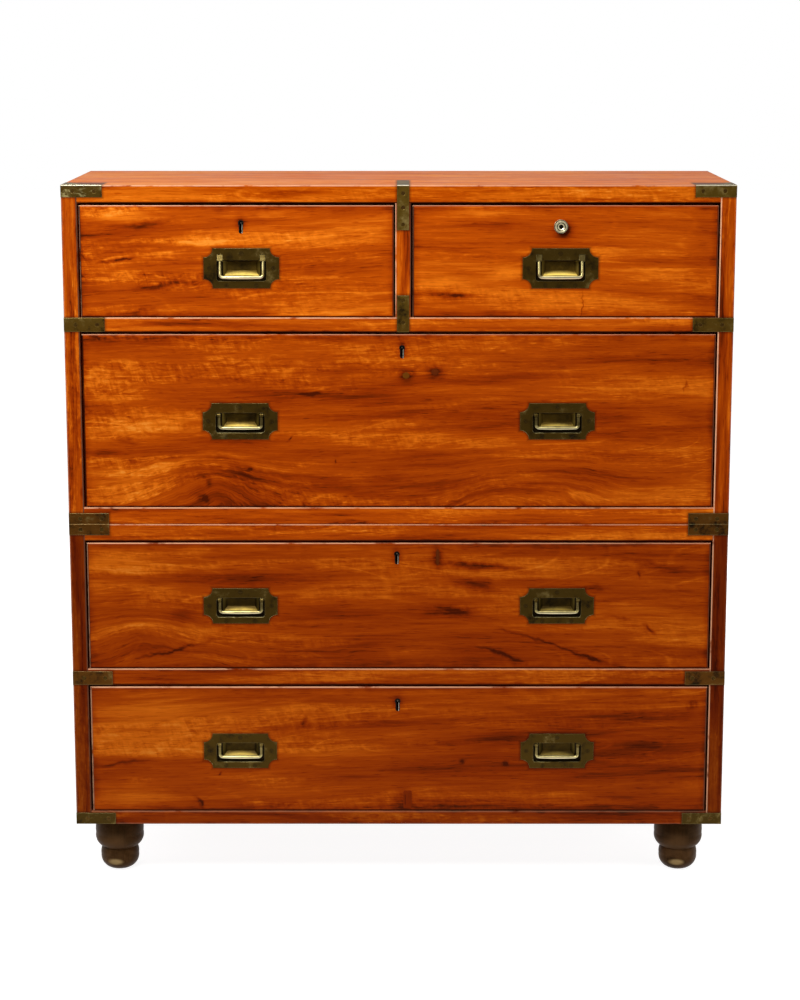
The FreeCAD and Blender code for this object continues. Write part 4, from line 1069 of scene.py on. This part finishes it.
class CHEST_OT_handles(bpy.types.Operator):
    """Finish the flush handles of the drawers and of the case sides"""

    bl_idname = "chest.handles"
    bl_label = "Flush handles"

    def execute(self, context):
        brass = context.scene.chest_brass
        post = plain_metal_finish("key_post_iron", brass.steel, 0.3, 300.0)
        iron = plain_metal_finish("lock_case_iron", brass.iron, 0.5, 300.0, 0.3)
        for number, (drawer, well_rub_and_light) in enumerate(WELL_RUB_AND_LIGHT.items()):
            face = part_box(drawer + "_front")[0].y
            node = drawer + "_brass"
            place = key_place(node)
            plate = plate_finish(drawer + "_plate_brass", 140.0 + number, plate_seats(node),
                                 (0.0, 1.0, 0.0), face, well_rub_and_light=well_rub_and_light)
            is_barrel = drawer == BARREL_DRAWER
            mouth = barrel_finish(place) if is_barrel else liner_finish(drawer + "_liner_brass", place)
            dress(node, plate, post, iron, mouth, choose=self.brass_of(face))
        for case in CASES:
            plates = case + "_side_handle_plates"
            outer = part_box(case + "_left_side")[0].x
            finishes = []
            for side, hand in (("left", -1), ("right", 1)):
                seats = [seat for seat in plate_seats(plates) if seat[0].x * hand > 0]
                finishes.append(plate_finish(f"{case}_{side}_plate_brass", 146.0 + hand, seats,
                                             (-hand, 0.0, 0.0), outer, across=1))
            dress(plates, *finishes, choose=lambda low, high: int(low.x > 0))
        clean, dirty_and_shaded = bail_finish("short_bail_brass", 0.10), bail_finish("long_bail_brass", 0.75)
        for node in NODES:
            if node.endswith("_bail"):
                dress(node, clean if node.startswith("short") else dirty_and_shaded)
        return {"FINISHED"}

    @staticmethod
    def brass_of(face):
        """What chooses the finish of a drawer's brass solids; face is where the front's face lies."""
        plate, post, iron, mouth = range(4)

        def choose(low, high):
            width, _, height = high - low
            if is_handle_plate(low, high):
                return plate
            if width > 30 * MM:
                # only the barrel lock's case has a nozzle that stands out of the front
                return mouth if low.y < face - 2 * MM else iron
            return mouth if height > 15 * MM else post

        return choose


class CHEST_OT_straps(bpy.types.Operator):
    """Finish the brass straps of the cases and their screws"""

    bl_idname = "chest.straps"
    bl_label = "Straps and screws"

    def execute(self, context):
        strap, screw = strap_finish(), screw_finish()
        for case in CASES:
            dress(case + "_brass_straps", strap)
            dress(case + "_brass_screws", screw)
        return {"FINISHED"}


class CHEST_OT_lock_bolts(bpy.types.Operator):
    """Finish the steel bolts of the five locks"""

    bl_idname = "chest.lock_bolts"
    bl_label = "Lock bolts"

    def execute(self, context):
        steel = plain_metal_finish("lock_steel", context.scene.chest_brass.steel, 0.25, 500.0)
        for drawer in DRAWERS:
            dress(drawer + "_lock_bolt", steel)
        return {"FINISHED"}


class CHEST_OT_repairs(bpy.types.Operator):
    """Let the old plugs and patches into the drawer fronts"""

    bl_idname = "chest.repairs"
    bl_label = "Plugs and patches"

    def execute(self, context):
        for name in REPAIRS:
            repair(name, "_".join(name.split("_")[:2]))
        return {"FINISHED"}


# The lamps: place and target, width and height, and the setting that holds the power.
LAMPS = {
    "key_lamp": ((-0.75, -1.75, 2.15), (0.0, FRONT_FACE, 0.75), (0.5, 0.5), "key"),
    "overhead_lamp": ((-0.1, -1.15, 2.6), (0.0, -0.05, 0.8), (1.6, 0.7), "over"),
    "fill_lamp": ((2.2, -2.0, 1.3), (0.0, FRONT_FACE, 0.6), (1.4, 1.6), "fill"),
    "left_lamp": ((-2.6, 0.5, 1.5), (-0.5, 0.0, 0.6), (1.4, 1.6), "sides"),
    "right_lamp": ((2.6, 0.5, 1.5), (0.5, 0.0, 0.6), (1.4, 1.6), "sides"),
    "back_lamp": ((0.3, 2.6, 0.7), (0.0, 0.2, 0.6), (1.8, 0.6), "back"),
}
# The floor's radius in metres and its outline's points, and how far the camera sees.
FLOOR_RADIUS, FLOOR_POINTS = 16.0, 96
CLIP_END = 60.0


class CHEST_OT_stage(bpy.types.Operator):
    """Set up the floor, the lamps, the world and the camera"""

    bl_idname = "chest.stage"
    bl_label = "Studio"

    def execute(self, context):
        scene, stage = context.scene, context.scene.chest_stage
        scene.view_settings.view_transform = "Standard"
        self.floor()
        self.world(scene, stage)
        for name, (place, target, size, setting) in LAMPS.items():
            self.lamp(name, place, target, size, getattr(stage, setting))
        self.camera(scene, stage)
        return {"FINISHED"}

    def rays(self, tree):
        """Whether a ray is the camera's, and whether it comes by way of metal or glass."""
        path = tree.add("ShaderNodeLightPath").outputs
        return path["Is Camera Ray"], tree.most(path["Is Glossy Ray"], path["Is Transmission Ray"])

    def floor(self):
        """A wide pale floor that shows white to the camera and keeps a faint shadow."""
        material = bpy.data.materials.new("pale_floor")
        tree = Tree(emptied(material))
        camera, mirrored = self.rays(tree)
        point = tree.add("ShaderNodeTexCoord").outputs["Object"]
        behind = tree.ease(tree.split(point)[1], -1.0, -0.4)
        seen = tree.most(camera, tree.product(mirrored, behind))
        lit = tree.ease(tree.vector("LENGTH", point), 0.7, 1.6, 0.9, 1.0)
        glow = tree.add("ShaderNodeEmission", {"Color": WHITE, "Strength": lit})
        faint = tree.add("ShaderNodeBsdfDiffuse", [(0.3, 0.3, 0.3)])
        pale = tree.add("ShaderNodeBsdfDiffuse", [(0.50, 0.49, 0.48)])
        shown = tree.add("ShaderNodeAddShader", [glow, faint])
        mixed = tree.add("ShaderNodeMixShader", [seen, pale, shown])
        tree.add("ShaderNodeOutputMaterial", [mixed])
        angles = [2 * math.pi * number / FLOOR_POINTS for number in range(FLOOR_POINTS)]
        points = [(FLOOR_RADIUS * math.cos(angle), FLOOR_RADIUS * math.sin(angle), 0.0) for angle in angles]
        floor = placed_mesh("floor", points, [tuple(range(FLOOR_POINTS))], material)

    def world(self, scene, stage):
        """White behind the chest, and a dim even light from everywhere else."""
        world = bpy.data.worlds.new("studio")
        scene.world = world
        tree = Tree(emptied(world))
        camera, mirrored = self.rays(tree)
        direction = tree.add("ShaderNodeTexCoord").outputs["Generated"]
        behind = tree.ease(tree.split(direction)[1], -0.3, 0.2)
        white = tree.most(camera, tree.product(mirrored, behind, stage.backdrop))
        dim = tree.add("ShaderNodeBackground", [(1.0, 0.98, 0.95), stage.ambient])
        bright = tree.add("ShaderNodeBackground", [WHITE, 1.0])
        tree.add("ShaderNodeOutputWorld", [tree.add("ShaderNodeMixShader", [white, dim, bright])])

    def lamp(self, name, place, target, size, power):
        """A soft rectangular lamp aimed at a point."""
        light = bpy.data.lights.new(name, "AREA")
        light.shape = "RECTANGLE"
        light.size, light.size_y = size
        light.energy = power
        lamp = placed(name, light)
        lamp.location = place
        lamp.rotation_euler = (Vector(target) - Vector(place)).to_track_quat("-Z", "Y").to_euler()

    def camera(self, scene, stage):
        """The camera in front of the chest, a little above it and looking down."""
        lens = bpy.data.cameras.new("camera")
        lens.lens = stage.lens
        lens.clip_end = CLIP_END
        camera = placed("camera", lens)
        camera.location = (stage.aside, -stage.distance, stage.height)
        camera.rotation_euler = (math.pi / 2 - stage.tilt, 0.0, stage.turn)
        scene.camera = camera


STEPS = (CHEST_OT_stage, CHEST_OT_case_boards, CHEST_OT_drawer_fronts, CHEST_OT_drawer_linings,
         CHEST_OT_carcase, CHEST_OT_feet, CHEST_OT_handles, CHEST_OT_straps, CHEST_OT_lock_bolts,
         CHEST_OT_repairs)


class CHEST_PT_finishes(bpy.types.Panel):
    """The chest's finishes in the sidebar"""

    bl_idname = "CHEST_PT_finishes"
    bl_label = "Campaign chest"
    bl_space_type = "VIEW_3D"
    bl_region_type = "UI"
    bl_category = "Chest"

    def draw(self, context):
        for step in STEPS:
            self.layout.operator(step.bl_idname)
        for group in (context.scene.chest_wood, context.scene.chest_brass, context.scene.chest_stage):
            column = self.layout.box().column()
            for name in group.__annotations__:
                column.prop(group, name)


CLASSES = (ChestWood, ChestBrass, ChestStage, *STEPS, CHEST_PT_finishes)


def register():
    """Add the settings, the operators and the panel to Blender."""
    for cls in CLASSES:
        bpy.utils.register_class(cls)
    bpy.types.Scene.chest_wood = PointerProperty(type=ChestWood)
    bpy.types.Scene.chest_brass = PointerProperty(type=ChestBrass)
    bpy.types.Scene.chest_stage = PointerProperty(type=ChestStage)


def unregister():
    """Take them away again."""
    del bpy.types.Scene.chest_stage
    del bpy.types.Scene.chest_brass
    del bpy.types.Scene.chest_wood
    for cls in reversed(CLASSES):
        bpy.utils.unregister_class(cls)


def main():
    """Finish the chest."""
    register()
    for step in STEPS:
        group, name = step.bl_idname.split(".")
        getattr(getattr(bpy.ops, group), name)()


if __name__ == "__main__":
    main()
